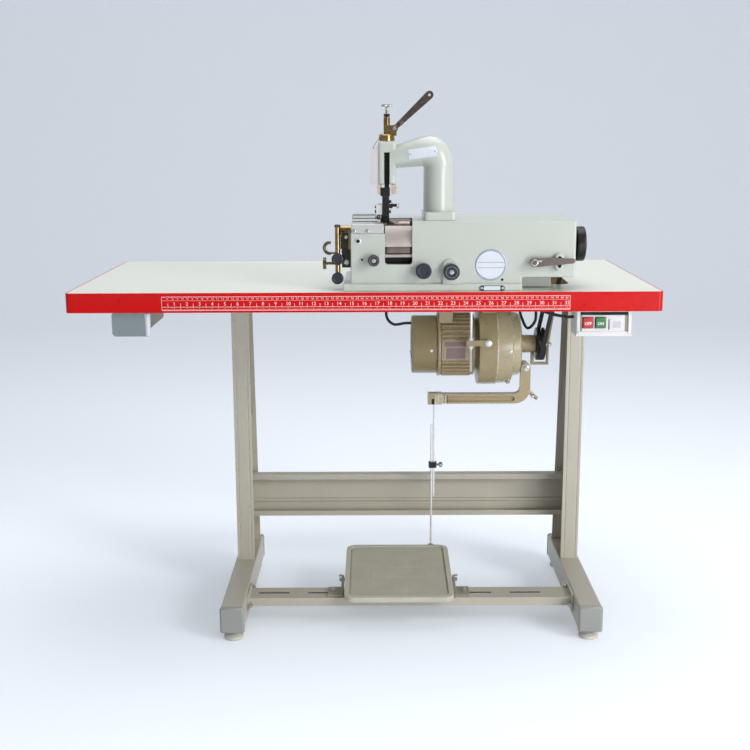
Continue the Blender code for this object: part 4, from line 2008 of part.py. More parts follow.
def arm(enamel):
    """The arm: a swept column on a collar, and the slotted presser housing at its end."""
    line, radii = arm_path()
    points = [(x, 0.0, z) for x, z in line]
    casting = tube("arm", points, radii, enamel, detail=ARM_DETAIL)
    fill_bend(casting)
    casting.data.transform(Matrix.Scale(ARM_DEEPEN, 4, (0.0, 1.0, 0.0)))
    casting.data.shade_smooth()
    casting.data.set_sharp_from_angle(angle=math.radians(40.0))
    casting.location = (0.0, AXIS_Y, 0.0)
    column_x = HEAD_LEFT_X + ARM_OFFSET
    foot_z = HEAD_TOP_Z + FIT
    half_width = ARM_COLLAR_WIDTH / 2
    half_depth = ARM_COLLAR_DEPTH / 2
    collar = rounded_box((-half_width, -half_depth), (half_width, half_depth), ARM_COLLAR_CORNER)
    height = ARM_COLLAR_HEIGHT
    middle = (column_x, AXIS_Y, foot_z + height / 2)
    weld(casting, plate("arm_collar_tool", [collar], height, middle, IN_XY))
    half = HOUSING_WIDTH / 2
    back_y = HOUSING_FRONT_Y + HOUSING_DEPTH
    foot = HEAD_TOP_Z + HOUSING_FOOT_HEIGHT
    housing = block(
        "housing_tool", (PRESS_X - half, HOUSING_FRONT_Y, foot),
        (PRESS_X + half, back_y, HOUSING_TOP_Z),
    )
    weld(casting, soften(housing, HOUSING_EDGE, 3))
    for side, x in (("left", PRESS_X - half), ("right", PRESS_X + half - FORK_WIDTH)):
        prong = block(
            "fork_" + side + "_tool",
            (x + RUN_GAP, AXIS_Y - FORK_DEPTH / 2, foot - FORK_DROP),
            (x + FORK_WIDTH - RUN_GAP, AXIS_Y + FORK_DEPTH / 2, foot + HOUSING_EDGE),
        )
        weld(casting, prong)
    slot_half = PRESS_SLOT_WIDTH / 2
    slot = block(
        "press_slot_tool",
        (PRESS_X - slot_half, HOUSING_FRONT_Y - OVERRUN, foot - OVERRUN),
        (PRESS_X + slot_half, AXIS_Y, foot + PRESS_SLOT_HEIGHT),
    )
    bar_half = BAR_DEPTH / 2 + RUN_GAP
    channel = block(
        "press_channel_tool",
        (PRESS_X - slot_half, AXIS_Y - bar_half, foot - OVERRUN),
        (PRESS_X + slot_half, AXIS_Y + bar_half, HEAD_TOP_Z + BAR_TOP_HEIGHT + BAR_LIFT + BAR_AIR),
    )
    bore = rod(
        "pressure_bore_tool", clear_of(PRESSURE_ROD_RADIUS, RUN_GAP),
        (PRESS_X, AXIS_Y, HEAD_TOP_Z + BAR_TOP_HEIGHT), (PRESS_X, AXIS_Y, HOUSING_TOP_Z + OVERRUN),
    )
    cut(casting, slot)
    cut(casting, channel)
    cut(casting, bore)


def presser(black, steel):
    """The square presser bar in its channel, and the foot clamped to its end."""
    half = BAR_WIDTH / 2
    bar_foot = HEAD_TOP_Z + BAR_FOOT_HEIGHT
    bar = block(
        "presser_bar", (PRESS_X - half, AXIS_Y - BAR_DEPTH / 2, bar_foot),
        (PRESS_X + half, AXIS_Y + BAR_DEPTH / 2, HEAD_TOP_Z + BAR_TOP_HEIGHT), black,
    )
    screw_z = bar_foot + FOOT_BLOCK_RISE + FOOT_BLOCK_HEIGHT / 2
    screw = rod(
        "foot_screw_tool", FOOT_SCREW_RADIUS, (PRESS_X, AXIS_Y, screw_z),
        (PRESS_X + FOOT_SCREW_LENGTH, AXIS_Y, screw_z), steps=10,
    )
    head = rod(
        "foot_screw_head_tool", FOOT_SCREW_HEAD,
        (PRESS_X + FOOT_SCREW_LENGTH - FOOT_SCREW_HEAD_WIDTH, AXIS_Y, screw_z),
        (PRESS_X + FOOT_SCREW_LENGTH + RUN_GAP, AXIS_Y, screw_z), steps=12,
    )
    weld(bar, screw)
    weld(bar, head)
    sole_right = KNIFE_EDGE_X - RUN_GAP
    sole_z = ROLLER_Z + ROLLER_RADIUS + RUN_GAP
    sole = block(
        "presser_foot", (sole_right - FOOT_SOLE_WIDTH, AXIS_Y - FOOT_SOLE_LENGTH / 2, sole_z),
        (sole_right, AXIS_Y + FOOT_SOLE_LENGTH / 2, sole_z + FOOT_SOLE_HEIGHT), steel,
    )
    soften(sole, SOLE_EDGE, 2)
    shank = block(
        "foot_shank_tool",
        (PRESS_X - half, AXIS_Y - FOOT_BLOCK_DEPTH / 2 + RUN_GAP, HEAD_TOP_Z + RUN_GAP),
        (PRESS_X + half, AXIS_Y + FOOT_BLOCK_DEPTH / 2 - RUN_GAP, bar_foot - FIT),
    )
    clamp = block(
        "foot_block_tool",
        (PRESS_X - half - FIT - FOOT_BLOCK_WIDTH, AXIS_Y - FOOT_BLOCK_DEPTH / 2,
         bar_foot - WELD_DEPTH),
        (PRESS_X - half - FIT, AXIS_Y + FOOT_BLOCK_DEPTH / 2, screw_z + FOOT_BLOCK_HEIGHT / 2),
    )
    web = block(
        "foot_web_tool",
        (PRESS_X - half - FOOT_BLOCK_WIDTH / 2, AXIS_Y - FOOT_BLOCK_DEPTH / 3,
         HEAD_TOP_Z + 2 * RUN_GAP),
        (PRESS_X, AXIS_Y + FOOT_BLOCK_DEPTH / 3, bar_foot - 2 * FIT),
    )
    for piece in (shank, web, clamp):
        weld(sole, piece)
    pivot("presser_slide", (PRESS_X, AXIS_Y, bar_foot), bar, sole)


def presser_cap(brass):
    """The brass collar on the housing, the block that holds the lifting lever, and the sleeve."""
    block_low = CAM_FOOT_Z - COLLAR_FOOT_Z
    profile = [
        (0.0, SLEEVE_TOP_Z - COLLAR_FOOT_Z), (SLEEVE_RADIUS, SLEEVE_TOP_Z - COLLAR_FOOT_Z),
        (SLEEVE_RADIUS, block_low), (COLLAR_RADIUS - COLLAR_EDGE, block_low),
        (COLLAR_RADIUS, block_low - COLLAR_EDGE), (COLLAR_RADIUS, 0.0), (0.0, 0.0),
    ]
    cap = turned("presser_cap", profile, (PRESS_X, AXIS_Y, COLLAR_FOOT_Z), UPWARD, brass, ROUND_STEPS)
    middle_x = PRESS_X + CAM_BLOCK_SHIFT
    cheeks = block(
        "cam_block_tool",
        (middle_x - CAM_BLOCK_WIDTH / 2, AXIS_Y - CAM_BLOCK_DEPTH / 2, CAM_FOOT_Z - WELD_DEPTH),
        (middle_x + CAM_BLOCK_WIDTH / 2, AXIS_Y + CAM_BLOCK_DEPTH / 2, CAM_TOP_Z),
    )
    weld(cap, cheeks)
    slot = block(
        "cam_slot_tool",
        (LIFT_PIVOT_X - LIFT_HUB_RADIUS - LIFT_AIR, AXIS_Y - CAM_SLOT_WIDTH / 2,
         LIFT_PIVOT_Z - LIFT_HUB_RADIUS - LIFT_AIR),
        (LIFT_PIVOT_X + CAM_BLOCK_WIDTH, AXIS_Y + CAM_SLOT_WIDTH / 2, CAM_TOP_Z + OVERRUN),
    )
    cut(cap, slot)
    pin_hole = rod(
        "lift_pin_hole_tool", clear_of(LIFT_PIN_RADIUS, RUN_GAP, 12),
        (LIFT_PIVOT_X, AXIS_Y - CAM_BLOCK_DEPTH, LIFT_PIVOT_Z),
        (LIFT_PIVOT_X, AXIS_Y + CAM_BLOCK_DEPTH, LIFT_PIVOT_Z), steps=12,
    )
    cut(cap, pin_hole)
    bore = rod(
        "cap_bore_tool", clear_of(PRESSURE_ROD_RADIUS, RUN_GAP),
        (PRESS_X, AXIS_Y, COLLAR_FOOT_Z - OVERRUN), (PRESS_X, AXIS_Y, SLEEVE_TOP_Z + OVERRUN),
    )
    cut(cap, bore)


def pressure_screw(steel):
    """The long screw that presses the foot down, with its lock nut and its thumb head."""
    foot_z = HEAD_TOP_Z + BAR_TOP_HEIGHT + BAR_LIFT + RUN_GAP
    nut_low = SLEEVE_TOP_Z + RUN_GAP - foot_z
    nut_top = nut_low + PRESSURE_NUT_HEIGHT
    head_low = SLEEVE_TOP_Z + PRESSURE_ROD_RISE - foot_z
    head_top = head_low + PRESSURE_HEAD_HEIGHT
    edge = KNOB_EDGE
    profile = [
        (0.0, head_top), (PRESSURE_HEAD_RADIUS - edge, head_top),
        (PRESSURE_HEAD_RADIUS, head_top - edge), (PRESSURE_HEAD_RADIUS, head_low + edge),
        (PRESSURE_HEAD_RADIUS - edge, head_low), (PRESSURE_ROD_RADIUS, head_low),
        (PRESSURE_ROD_RADIUS, nut_top), (PRESSURE_NUT_RADIUS, nut_top),
        (PRESSURE_NUT_RADIUS, nut_low), (PRESSURE_ROD_RADIUS, nut_low),
        (PRESSURE_ROD_RADIUS, 0.0), (0.0, 0.0),
    ]
    centre = (PRESS_X, AXIS_Y, foot_z)
    screw = turned("pressure_screw", profile, centre, UPWARD, steel, 20)
    pivot("pressure_screw_axis", centre, screw)


def lift_lever(steel):
    """The flat hand lever that lifts the foot: hub, tapering blade and round tip with a hole."""
    tip_x = LIFT_PIVOT_X + LIFT_LENGTH * math.cos(LIFT_ANGLE)
    tip_z = LIFT_PIVOT_Z + LIFT_LENGTH * math.sin(LIFT_ANGLE)
    outline = open_belt_path(
        LIFT_PIVOT_X, LIFT_PIVOT_Z, LIFT_ROOT_WIDTH / 2, tip_x, tip_z, LIFT_TIP_WIDTH / 2, ARC_STEPS,
    )
    centre = (0.0, AXIS_Y, 0.0)
    blade = plate("lift_lever", [outline], LIFT_THICK, centre, IN_XZ, steel)
    hub = rod(
        "lift_hub_tool", LIFT_HUB_RADIUS, (LIFT_PIVOT_X, AXIS_Y - LIFT_THICK / 2, LIFT_PIVOT_Z),
        (LIFT_PIVOT_X, AXIS_Y + LIFT_THICK / 2, LIFT_PIVOT_Z), steps=16,
    )
    pin = rod(
        "lift_pin_tool", LIFT_PIN_RADIUS, (LIFT_PIVOT_X, AXIS_Y - CAM_BLOCK_DEPTH / 2, LIFT_PIVOT_Z),
        (LIFT_PIVOT_X, AXIS_Y + CAM_BLOCK_DEPTH / 2, LIFT_PIVOT_Z), steps=12,
    )
    weld(blade, hub)
    weld(blade, pin)
    hole = rod(
        "lift_hole_tool", LIFT_HOLE_RADIUS, (tip_x, AXIS_Y - LIFT_THICK, tip_z),
        (tip_x, AXIS_Y + LIFT_THICK, tip_z), steps=12,
    )
    cut(blade, hole)
    pivot("lift_axis", (LIFT_PIVOT_X, AXIS_Y, LIFT_PIVOT_Z), blade)


def smooth_route(knots, step):
    """Points along a smooth curve through a route's own points."""
    points = [Vector(knot) for knot in knots]
    ends = [2 * points[0] - points[1]] + points + [2 * points[-1] - points[-2]]
    route = []
    for i in range(1, len(ends) - 2):
        before, start, end, after = ends[i - 1:i + 3]
        parts = max(1, round((end - start).length / step))
        for j in range(parts):
            t = j / parts
            route.append(
                (2 * start + (end - before) * t
                 + (2 * before - 5 * start + 4 * end - after) * t ** 2
                 + (3 * start - before - 3 * end + after) * t ** 3) / 2
            )
    route.append(points[-1])
    return [tuple(point) for point in route]


def motor_cable(rubber):
    """The cable from the switch under the table to the motor's left end, hand-laid."""
    end = (END_COVER_LEFT_X - FIT, MOTOR_AXIS_Y, MOTOR_AXIS_Z + CABLE_ENTRY_RISE)
    knots = [(SWITCH_LEFT_X - FIT, CABLE_START_Y, CABLE_START_Z)] + list(CABLE_ROUTE)
    knots += [(end[0] - CABLE_LEAD, end[1], end[2]), end]
    tube("motor_cable", smooth_route(knots, CABLE_STEP), CABLE_RADIUS, rubber)


def build():
    """Make every piece of the machine with its finish."""
    begin()
    board = finish("table_laminate", 0.84, 0.86, 0.83, 0.45)
    edging = finish("red_edging", 0.83, 0.10, 0.09, 0.40)
    stand = finish("stand_paint", 0.66, 0.64, 0.57, 0.50)
    enamel = finish("head_enamel", 0.79, 0.81, 0.78, 0.35)
    motor = finish("motor_paint", 0.62, 0.58, 0.46, 0.45)
    casting = finish("treadle_paint", 0.65, 0.63, 0.55, 0.50)
    steel = finish("bright_steel", 0.75, 0.74, 0.72, 0.30, 1.0)
    iron = finish("black_iron", 0.06, 0.06, 0.06, 0.40)
    brass = finish("brass", 0.80, 0.62, 0.28, 0.30, 1.0)
    black = finish("black_plastic", 0.10, 0.11, 0.14, 0.45)
    rubber = finish("black_rubber", 0.12, 0.12, 0.12, 0.80)
    ribbed = finish("grey_rubber", 0.50, 0.49, 0.44, 0.85)
    pad = finish("pad_rubber", 0.75, 0.74, 0.70, 0.70)
    grey = finish("drawer_plastic", 0.55, 0.60, 0.62, 0.50)
    cream = finish("switch_plastic", 0.84, 0.84, 0.82, 0.45)
    red = finish("red_button", 0.75, 0.08, 0.08, 0.40)
    green = finish("green_button", 0.05, 0.55, 0.30, 0.40)
    zinc = finish("zinc_sheet", 0.60, 0.60, 0.60, 0.40, 1.0)
    stone = finish("grinding_stone", 0.55, 0.45, 0.40, 0.90)
    tabletop(board, edging)
    foot("left", LEFT_FOOT_X, stand, pad)
    foot("right", RIGHT_FOOT_X, stand, pad)
    column("left", LEFT_WEB_X, 1.0, stand)
    column("right", RIGHT_WEB_X, -1.0, stand)
    rear_stretcher(stand)
    pedal_crossbar(stand)
    pedal(casting, ribbed, steel)
    edge = PEDAL_WIDTH / 2 + BRACKET_GAP
    pedal_bracket("left", PEDAL_CENTRE_X - edge, -1.0, iron)
    pedal_bracket("right", PEDAL_CENTRE_X + edge, 1.0, iron)
    stator(motor)
    end_cover(motor)
    clutch_housing(motor)
    motor_bracket(motor)
    tension_rod(steel)
    belt_guard(motor)
    motor_pulley(iron)
    drive_belt(rubber)
    clutch_lever(motor)
    pull_rod(steel)
    switch_box(cream, red, green)
    drawer(grey, zinc)
    motor_cable(rubber)
    head_base(enamel)
    head_body(enamel)
    throat_plate(steel)
    knife_guard(steel)
    rotating_head(steel, iron)
    feed_roller(steel)
    sharpening_stone(stone)
    front_knobs(black)
    stone_lever(steel)
    lever_rest(enamel)
    side_bracket(iron)
    roller_yoke(brass)
    side_knobs(black)
    arm(enamel)
    presser(black, steel)
    presser_cap(brass)
    pressure_screw(steel)
    lift_lever(steel)


build()
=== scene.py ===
"""The leather skiving machine on its table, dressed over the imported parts. Sizes are in mm."""
import json
from math import copysign, cos, pi, radians, sin, sqrt

import bmesh
import bpy
from mathutils import Matrix, Vector


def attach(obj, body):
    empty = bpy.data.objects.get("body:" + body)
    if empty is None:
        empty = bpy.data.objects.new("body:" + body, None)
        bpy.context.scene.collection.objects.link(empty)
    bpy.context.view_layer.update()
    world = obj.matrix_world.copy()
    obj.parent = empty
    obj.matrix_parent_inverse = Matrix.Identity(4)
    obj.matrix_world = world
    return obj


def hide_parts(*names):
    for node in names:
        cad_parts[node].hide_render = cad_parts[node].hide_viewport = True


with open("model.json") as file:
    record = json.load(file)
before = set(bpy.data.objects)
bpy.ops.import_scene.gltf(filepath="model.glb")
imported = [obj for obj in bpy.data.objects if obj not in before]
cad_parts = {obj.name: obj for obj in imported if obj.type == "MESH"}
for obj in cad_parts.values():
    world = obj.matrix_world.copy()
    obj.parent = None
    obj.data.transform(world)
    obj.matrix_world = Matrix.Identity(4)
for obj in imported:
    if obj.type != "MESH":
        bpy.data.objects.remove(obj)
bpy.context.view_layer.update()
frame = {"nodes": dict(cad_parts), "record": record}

# The camera stands in front of the machine, a little above the arm's height, and looks down
# at the stand. Its place and lens are the ones that the photograph was taken with.
lens = bpy.data.cameras.new("front_camera")
lens.lens = 55.34
lens.sensor_width = 36


def added(name, data):
    """A new object in the scene."""
    made = bpy.data.objects.new(name, data)
    bpy.context.scene.collection.objects.link(made)
    return made


camera = added("front_camera", lens)
camera.location = (0.0235, -2.589, 1.071)
camera.rotation_euler = [radians(angle) for angle in (78.17, 0.2153, 0.0149)]
bpy.context.scene.camera = camera


# The tabletop is a 40 mm laminated board with a satin, faintly greenish white surface. It is
# cut out at the right for the belt, and screwed down to the stand's two rails.
def linear(red, green, blue):
    """A colour as seen, in 0 to 255, as the shader's own linear values."""
    seen = [value / 255 for value in (red, green, blue)]
    return [v / 12.92 if v < 0.04045 else ((v + 0.055) / 1.055) ** 2.4 for v in seen] + [1]


def put(node, socket, value):
    """Sets one input of a shader's node."""
    node.inputs[socket].default_value = value


def finish(name, slot, colour, rough, metal=0, mottle=0.05, cloud=60, spread=0.07, grain=0.1,
        fine=700, relief=0.25, stretch=(1, 1, 1), edge_wear_and_highlight=None, edge=1.2, patchy=0.5, coat=0,
        speck=None, specks=0):
    """A finish: colour that wanders, uneven gloss, fine relief, edges of another colour: wear and
    painted highlight.
    """
    made = bpy.data.materials.new(name)
    made.use_nodes = True
    made["slot"] = slot
    nodes = made.node_tree.nodes
    join = made.node_tree.links.new
    shader = nodes["Principled BSDF"]
    spot = nodes.new("ShaderNodeTexCoord").outputs["Object"]
    mapping = nodes.new("ShaderNodeMapping")
    put(mapping, "Scale", stretch)
    join(spot, mapping.inputs["Vector"])

    def noise(scale, detail, source):
        """A noise pattern over the piece."""
        pattern = nodes.new("ShaderNodeTexNoise")
        put(pattern, "Scale", scale)
        put(pattern, "Detail", detail)
        join(source, pattern.inputs["Vector"])
        return pattern.outputs["Fac"]

    def ranged(source, low, high, new_low, new_high):
        """A value moved from one range to another and kept inside it."""
        change = nodes.new("ShaderNodeMapRange")
        for socket, value in zip(("From Min", "From Max", "To Min", "To Max"),
                (low, high, new_low, new_high)):
            put(change, socket, value)
        join(source, change.inputs["Value"])
        return change.outputs["Result"]

    def mixed(share, first, second):
        """Two colours mixed by a share. The second is a plain colour."""
        mix = nodes.new("ShaderNodeMix")
        mix.data_type = "RGBA"
        join(share, mix.inputs[0])
        join(first, mix.inputs[6])
        put(mix, 7, second)
        return mix.outputs[2]

    base = linear(*colour)
    ramp = nodes.new("ShaderNodeValToRGB")
    ramp.color_ramp.elements[0].position = 0.3
    ramp.color_ramp.elements[1].position = 0.7
    ramp.color_ramp.elements[0].color = [c * (1 - mottle) for c in base[:3]] + [1]
    ramp.color_ramp.elements[1].color = [min(1, c * (1 + mottle)) for c in base[:3]] + [1]
    join(noise(cloud, 5, spot), ramp.inputs["Fac"])
    tint = ramp.outputs["Color"]
    texture = noise(fine, 3, mapping.outputs["Vector"])
    if speck:
        tint = mixed(ranged(noise(fine * 0.5, 2, spot), 0.62, 0.70, 0, specks), tint,
            linear(*speck))
    # The edge colour stands for wear, and where it is paler than the finish also for a painted
    # highlight along the edges.
    if edge_wear_and_highlight:
        soft = nodes.new("ShaderNodeBevel")
        soft.samples = 4
        put(soft, "Radius", edge / 1000)
        true = nodes.new("ShaderNodeNewGeometry")
        turn = nodes.new("ShaderNodeVectorMath")
        turn.operation = "DOT_PRODUCT"
        join(soft.outputs["Normal"], turn.inputs[0])
        join(true.outputs["Normal"], turn.inputs[1])
        wear_and_highlight_edge = nodes.new("ShaderNodeMath")
        wear_and_highlight_edge.operation = "MULTIPLY"
        join(ranged(turn.outputs["Value"], 0.985, 0.86, 0, 1), wear_and_highlight_edge.inputs[0])
        join(ranged(noise(160, 4, spot), patchy - 0.06, patchy + 0.06, 0, 1), wear_and_highlight_edge.inputs[1])
        tint = mixed(wear_and_highlight_edge.outputs["Value"], tint, linear(*edge_wear_and_highlight))
    join(tint, shader.inputs["Base Color"])
    join(ranged(noise(cloud * 4, 4, mapping.outputs["Vector"]), 0.3, 0.7,
        max(0.02, rough - spread), min(1, rough + spread)), shader.inputs["Roughness"])
    bump = nodes.new("ShaderNodeBump")
    put(bump, "Strength", grain)
    put(bump, "Distance", relief / 1000)
    join(texture, bump.inputs["Height"])
    join(bump.outputs["Normal"], shader.inputs["Normal"])
    put(shader, "Metallic", metal)
    put(shader, "Coat Weight", coat)
    put(shader, "Coat Roughness", 0.12)
    return made


BODY_OF = {node: body for body, nodes in frame["record"]["behaviour"]["bodies"].items()
    for node in nodes}


def baked(made):
    """An object's mesh with its modifiers applied."""
    bpy.context.view_layer.update()
    return bpy.data.meshes.new_from_object(made.evaluated_get(
        bpy.context.evaluated_depsgraph_get()))


def rounded(made, width, steps=2, crease=38):
    """Rounds a piece's edges and shades it smooth up to a crease, with flat faces kept flat."""
    if width:
        rounding = made.modifiers.new("rounding", "BEVEL")
        rounding.width = width / 1000
        rounding.segments = steps
        rounding.angle_limit = radians(41)
        made.data = baked(made)
        made.modifiers.clear()
    made.data.shade_smooth()
    made.data.set_sharp_from_angle(angle=radians(crease))
    flat = made.modifiers.new("flat_faces", "WEIGHTED_NORMAL")
    flat.keep_sharp = True
    made.data = baked(made)
    made.modifiers.clear()


def shown(name, mesh, material, body, nodes, width=0, steps=2, crease=38):
    """Puts a mesh in the scene as a piece, with its finish, its body and what it stands for."""
    piece = added(name, mesh)
    mesh.materials.append(material)
    rounded(piece, width, steps, crease)
    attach(piece, body)
    if nodes:
        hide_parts(*nodes)
    return piece


def refined(node, material, width=0, steps=2, crease=38):
    """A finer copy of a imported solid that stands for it: edges rounded, curves shaded smooth."""
    mesh = frame["nodes"][node].data.copy()
    shape = bmesh.new()
    shape.from_mesh(mesh)
    bmesh.ops.remove_doubles(shape, verts=shape.verts[:], dist=0.00001)
    bmesh.ops.dissolve_limit(shape, angle_limit=radians(0.4), verts=shape.verts[:],
        edges=shape.edges[:])
    shape.to_mesh(mesh)
    shape.free()
    mesh.materials.clear()
    for face in mesh.polygons:
        face.material_index = 0
    return shown(node + "_dressed", mesh, material, BODY_OF[node], [node], width, steps, crease)


def tinted(made, material, chosen):
    """Gives the faces of a piece whose middles pass a test another finish."""
    made.data.materials.append(material)
    place = len(made.data.materials) - 1
    for face in made.data.polygons:
        if chosen(face.center * 1000, face.normal):
            face.material_index = place


laminate = finish("laminate", "laminate", (228, 231, 219), 0.34, mottle=0.012, cloud=3,
    spread=0.05, grain=0.02, fine=420, edge_wear_and_highlight=(190, 180, 160), coat=0.1)
board_core = finish("board_core", "laminate", (176, 146, 104), 0.8, mottle=0.2, grain=0.5,
    fine=380)
board = refined("tabletop", laminate, 0.5)
tinted(board, board_core, lambda middle, normal: (abs(normal.z) < 0.5 and 380 < middle.x < 435 and
    -190 < middle.y < 10))

# The edging is a red plastic strip pressed into the board's edge all round. Its corners are
# rounded, and its upper and lower lips stand a hair proud of the laminate.
edging = finish("edging", "edging", (204, 5, 5), 0.3, mottle=0.07, cloud=7, grain=0.18, fine=260,
    relief=0.3, edge_wear_and_highlight=(222, 80, 76), edge=1, patchy=0.53)
put(edging.node_tree.nodes["Principled BSDF"], "Specular IOR Level", 0.25)
band = refined("edge_band", edging, 0.9, 3)
# Its front is held 0.4 mm back, so that the ink printed on it stays inside the machine's size.
for vertex in band.data.vertices:
    vertex.co.y = max(vertex.co.y, -0.2996)

# The rule printed along the edging's front: centimetres in the upper band, inches in the
# middle, and sixteenths between two lines below. It is plain white ink, a hair thick.
loose = bmesh.new()  # the shapes of the piece in hand, until outlined() makes it and clears this


def outlined(name, material, body="machine", *nodes, crease=38):
    """Makes a piece of the loose shapes: closed, shaded, with its finish, body and solids."""
    bmesh.ops.remove_doubles(loose, verts=loose.verts[:], dist=0.000001)
    bmesh.ops.recalc_face_normals(loose, faces=loose.faces[:])
    mesh = bpy.data.meshes.new(name)
    loose.to_mesh(mesh)
    loose.clear()
    return shown(name, mesh, material, body, nodes, crease=crease)


def dressed(node, material, crease=38):
    """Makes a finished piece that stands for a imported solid, on the solid's own body."""
    return outlined(node + "_dressed", material, BODY_OF[node], node, crease=crease)


def skinned(rings):
    """Joins rings of corners into a skin and closes both ends."""
    for first, second in zip(rings, rings[1:]):
        for i in range(len(first)):
            j = (i + 1) % len(first)
            loose.faces.new([first[i], first[j], second[j], second[i]])
    loose.faces.new(rings[0])
    loose.faces.new(rings[-1])


def slab(low, high):
    """Adds a box between two corners, in mm."""
    corners = [(x, y, z) for z in (low[2], high[2]) for y in (low[1], high[1])
        for x in (low[0], high[0])]
    ends = [loose.verts.new(Vector(corner) / 1000) for corner in corners]
    for ring in ((0, 2, 3, 1), (4, 5, 7, 6), (0, 1, 5, 4), (2, 6, 7, 3), (0, 4, 6, 2),
            (1, 3, 7, 5)):
        loose.faces.new([ends[i] for i in ring])


def lettered(text, height, middle, thick=0.1, bold=0):
    """Adds printed characters that face the front, with their middle at a place, in mm."""
    script = bpy.data.curves.new("print", "FONT")
    script.offset = bold / 1000
    script.body = text
    script.size = height * 1.38 / 1000
    script.align_x = "CENTER"
    script.extrude = thick / 2000
    script.resolution_u = 2
    holder = added("print", script)
    shape = baked(holder)
    bpy.data.objects.remove(holder)
    lift = Vector((middle[0], middle[1], middle[2] - height / 2)) / 1000
    shape.transform(Matrix.Translation(lift) @ Matrix.Rotation(radians(90), 4, "X"))
    loose.from_mesh(shape)


white_ink = finish("white_ink", "edging", (250, 222, 222), 0.5, cloud=90, grain=0.05)
RULE_START, RULE_END, RULE_TOP, RULE_LOW = -406, 413, 752.6, 724.8
for low_z, high_z in ((752, 752.8), (744.6, 745), (731.4, 732.2), (724.4, 725.2)):
    slab((RULE_START, -300.12, low_z), (RULE_END, -299.9, high_z))
for x in (RULE_START, RULE_END - 0.7):
    slab((x, -300.12, RULE_LOW), (x + 0.7, -299.9, RULE_TOP))
for i in range(1, 164):
    x = RULE_START + 5 * i
    drop = 4.6 if i % 2 == 0 else 2.8
    slab((x - 0.2, -300.1, RULE_TOP - drop), (x + 0.2, -299.9, RULE_TOP))
    if i % 2 == 0:
        lettered(str(i // 2), 3.6, (x + 2.6, -300, 748.4), 0.2)
for i in range(1, 516):
    x = RULE_START + 25.4 / 16 * i
    rise = 6.2 if i % 16 == 0 else 4.6 if i % 8 == 0 else 3
    slab((x - 0.2, -300.1, RULE_LOW), (x + 0.2, -299.9, RULE_LOW + rise))
for i in range(1, 65):
    x = RULE_START + 12.7 * i
    if i % 2:
        slab((x - 0.35, -300.1, 732), (x + 0.35, -299.9, 739))
    else:
        lettered(str(i // 2), 7.4, (x, -300, 738.4), 0.2)
# The ink lies on the edging's front, 0.3 mm behind the planes above.
bmesh.ops.translate(loose, vec=(0, 0.0003, 0), verts=loose.verts)
outlined("printed_rule", white_ink)

# The feet are square steel tubes under a satin beige paint, each closed by a moulded cap at
# both ends. They stand on levelling pads with a steel nut and a pale rubber sole.
# The stand's paler edge colour is partly wear and partly a painted highlight along its lips and
# rims.
stand_paint = finish("stand_paint", "stand", (184, 178, 163), 0.36, mottle=0.04, cloud=6,
    spread=0.06, grain=0.16, fine=520, relief=0.2, edge_wear_and_highlight=(218, 214, 204), edge=1.8, patchy=0.44)
foot_cap = finish("foot_cap", "stand", (154, 154, 150), 0.46, cloud=9, grain=0.2, fine=420,
    edge_wear_and_highlight=(178, 176, 164))
for side in ("left", "right"):
    tube = refined(side + "_foot", stand_paint, 0.5)
    tinted(tube, foot_cap, lambda middle, normal: middle.y < -265.9 or middle.y > 179.9)


UP, DOWN = (0, 0, 1), (0, 0, -1)
FRONT, BACK = (0, -1, 0), (0, 1, 0)
LEFT, RIGHT = (-1, 0, 0), (1, 0, 0)


def placed(at, axis):
    """The matrix that takes a shape from the origin and the Z axis to its place and axis."""
    turn = Vector(UP).rotation_difference(Vector(axis).normalized())
    return Matrix.Translation(Vector(at) / 1000) @ turn.to_matrix().to_4x4()


def turned(at, axis, profile, steps=48, bore=0):
    """Adds a shape turned from (distance along the axis, radius, flute's depth), in mm.

    The profile is closed on its axis or round a bore, unless it ends where it starts.
    """
    place = placed(at, axis)
    start, end = profile[0], profile[-1]
    if start != end:
        profile = [(start[0], bore)] + profile + [(end[0], bore)]
    if start != end and bore:
        profile.append((start[0], bore))
    rings = []
    for along, radius, *flute in profile:
        if radius < 0.001:
            rings.append([loose.verts.new(place @ Vector((0, 0, along / 1000)))])
            continue
        ring = []
        for i in range(steps):
            angle = 2 * pi * i / steps
            reach = radius - (flute[0] if flute and i % 2 else 0)
            spot = Vector((reach * cos(angle), reach * sin(angle), along)) / 1000
            ring.append(loose.verts.new(place @ spot))
        rings.append(ring)
    for first, second in zip(rings, rings[1:]):
        for i in range(steps):
            corners = [first[i % len(first)], first[(i + 1) % len(first)],
                second[(i + 1) % len(second)], second[i % len(second)]]
            loose.faces.new(list(dict.fromkeys(corners)))


def hexagon(at, axis, across, height, washer=0, bolt=0):
    """Adds a chamfered hexagonal head or nut, on a washer and with a bolt's end through it."""
    start = 0
    if washer:
        turned(at, axis, [(0, washer), (1, washer), (1.2, washer - 0.3)], 28)
        start = 1.1
    corner = across / sqrt(3)
    top = start + height
    turned(at, axis, [(start, corner), (top - 0.6, corner), (top, across / 2 - 0.2)], 6)
    if bolt:
        turned(at, axis, [(top - 0.2, bolt), (top + 1.6, bolt), (top + 2.1, bolt - 0.5)], 20)


def slotted(at, axis, radius, height):
    """Adds a round screw head: a low disc, and two half discs on it with the slot between."""
    turned(at, axis, [(-0.3, radius), (height * 0.4, radius)], 28)
    for half_turn in (210, 30):
        place = placed(at, axis) @ Matrix.Rotation(radians(half_turn), 4, "Z")
        rings = []
        for along, share in ((height * 0.3, 1), (height * 0.8, 0.98), (height, 0.8)):
            outline = []
            for i in range(11):
                angle = radians(-76 + 15.2 * i)
                spot = Vector((max(radius * 0.2, radius * share * cos(angle)), radius * share
                    * sin(angle), along))
                outline.append(loose.verts.new(place @ (spot / 1000)))
            rings.append(outline)
        skinned(rings)


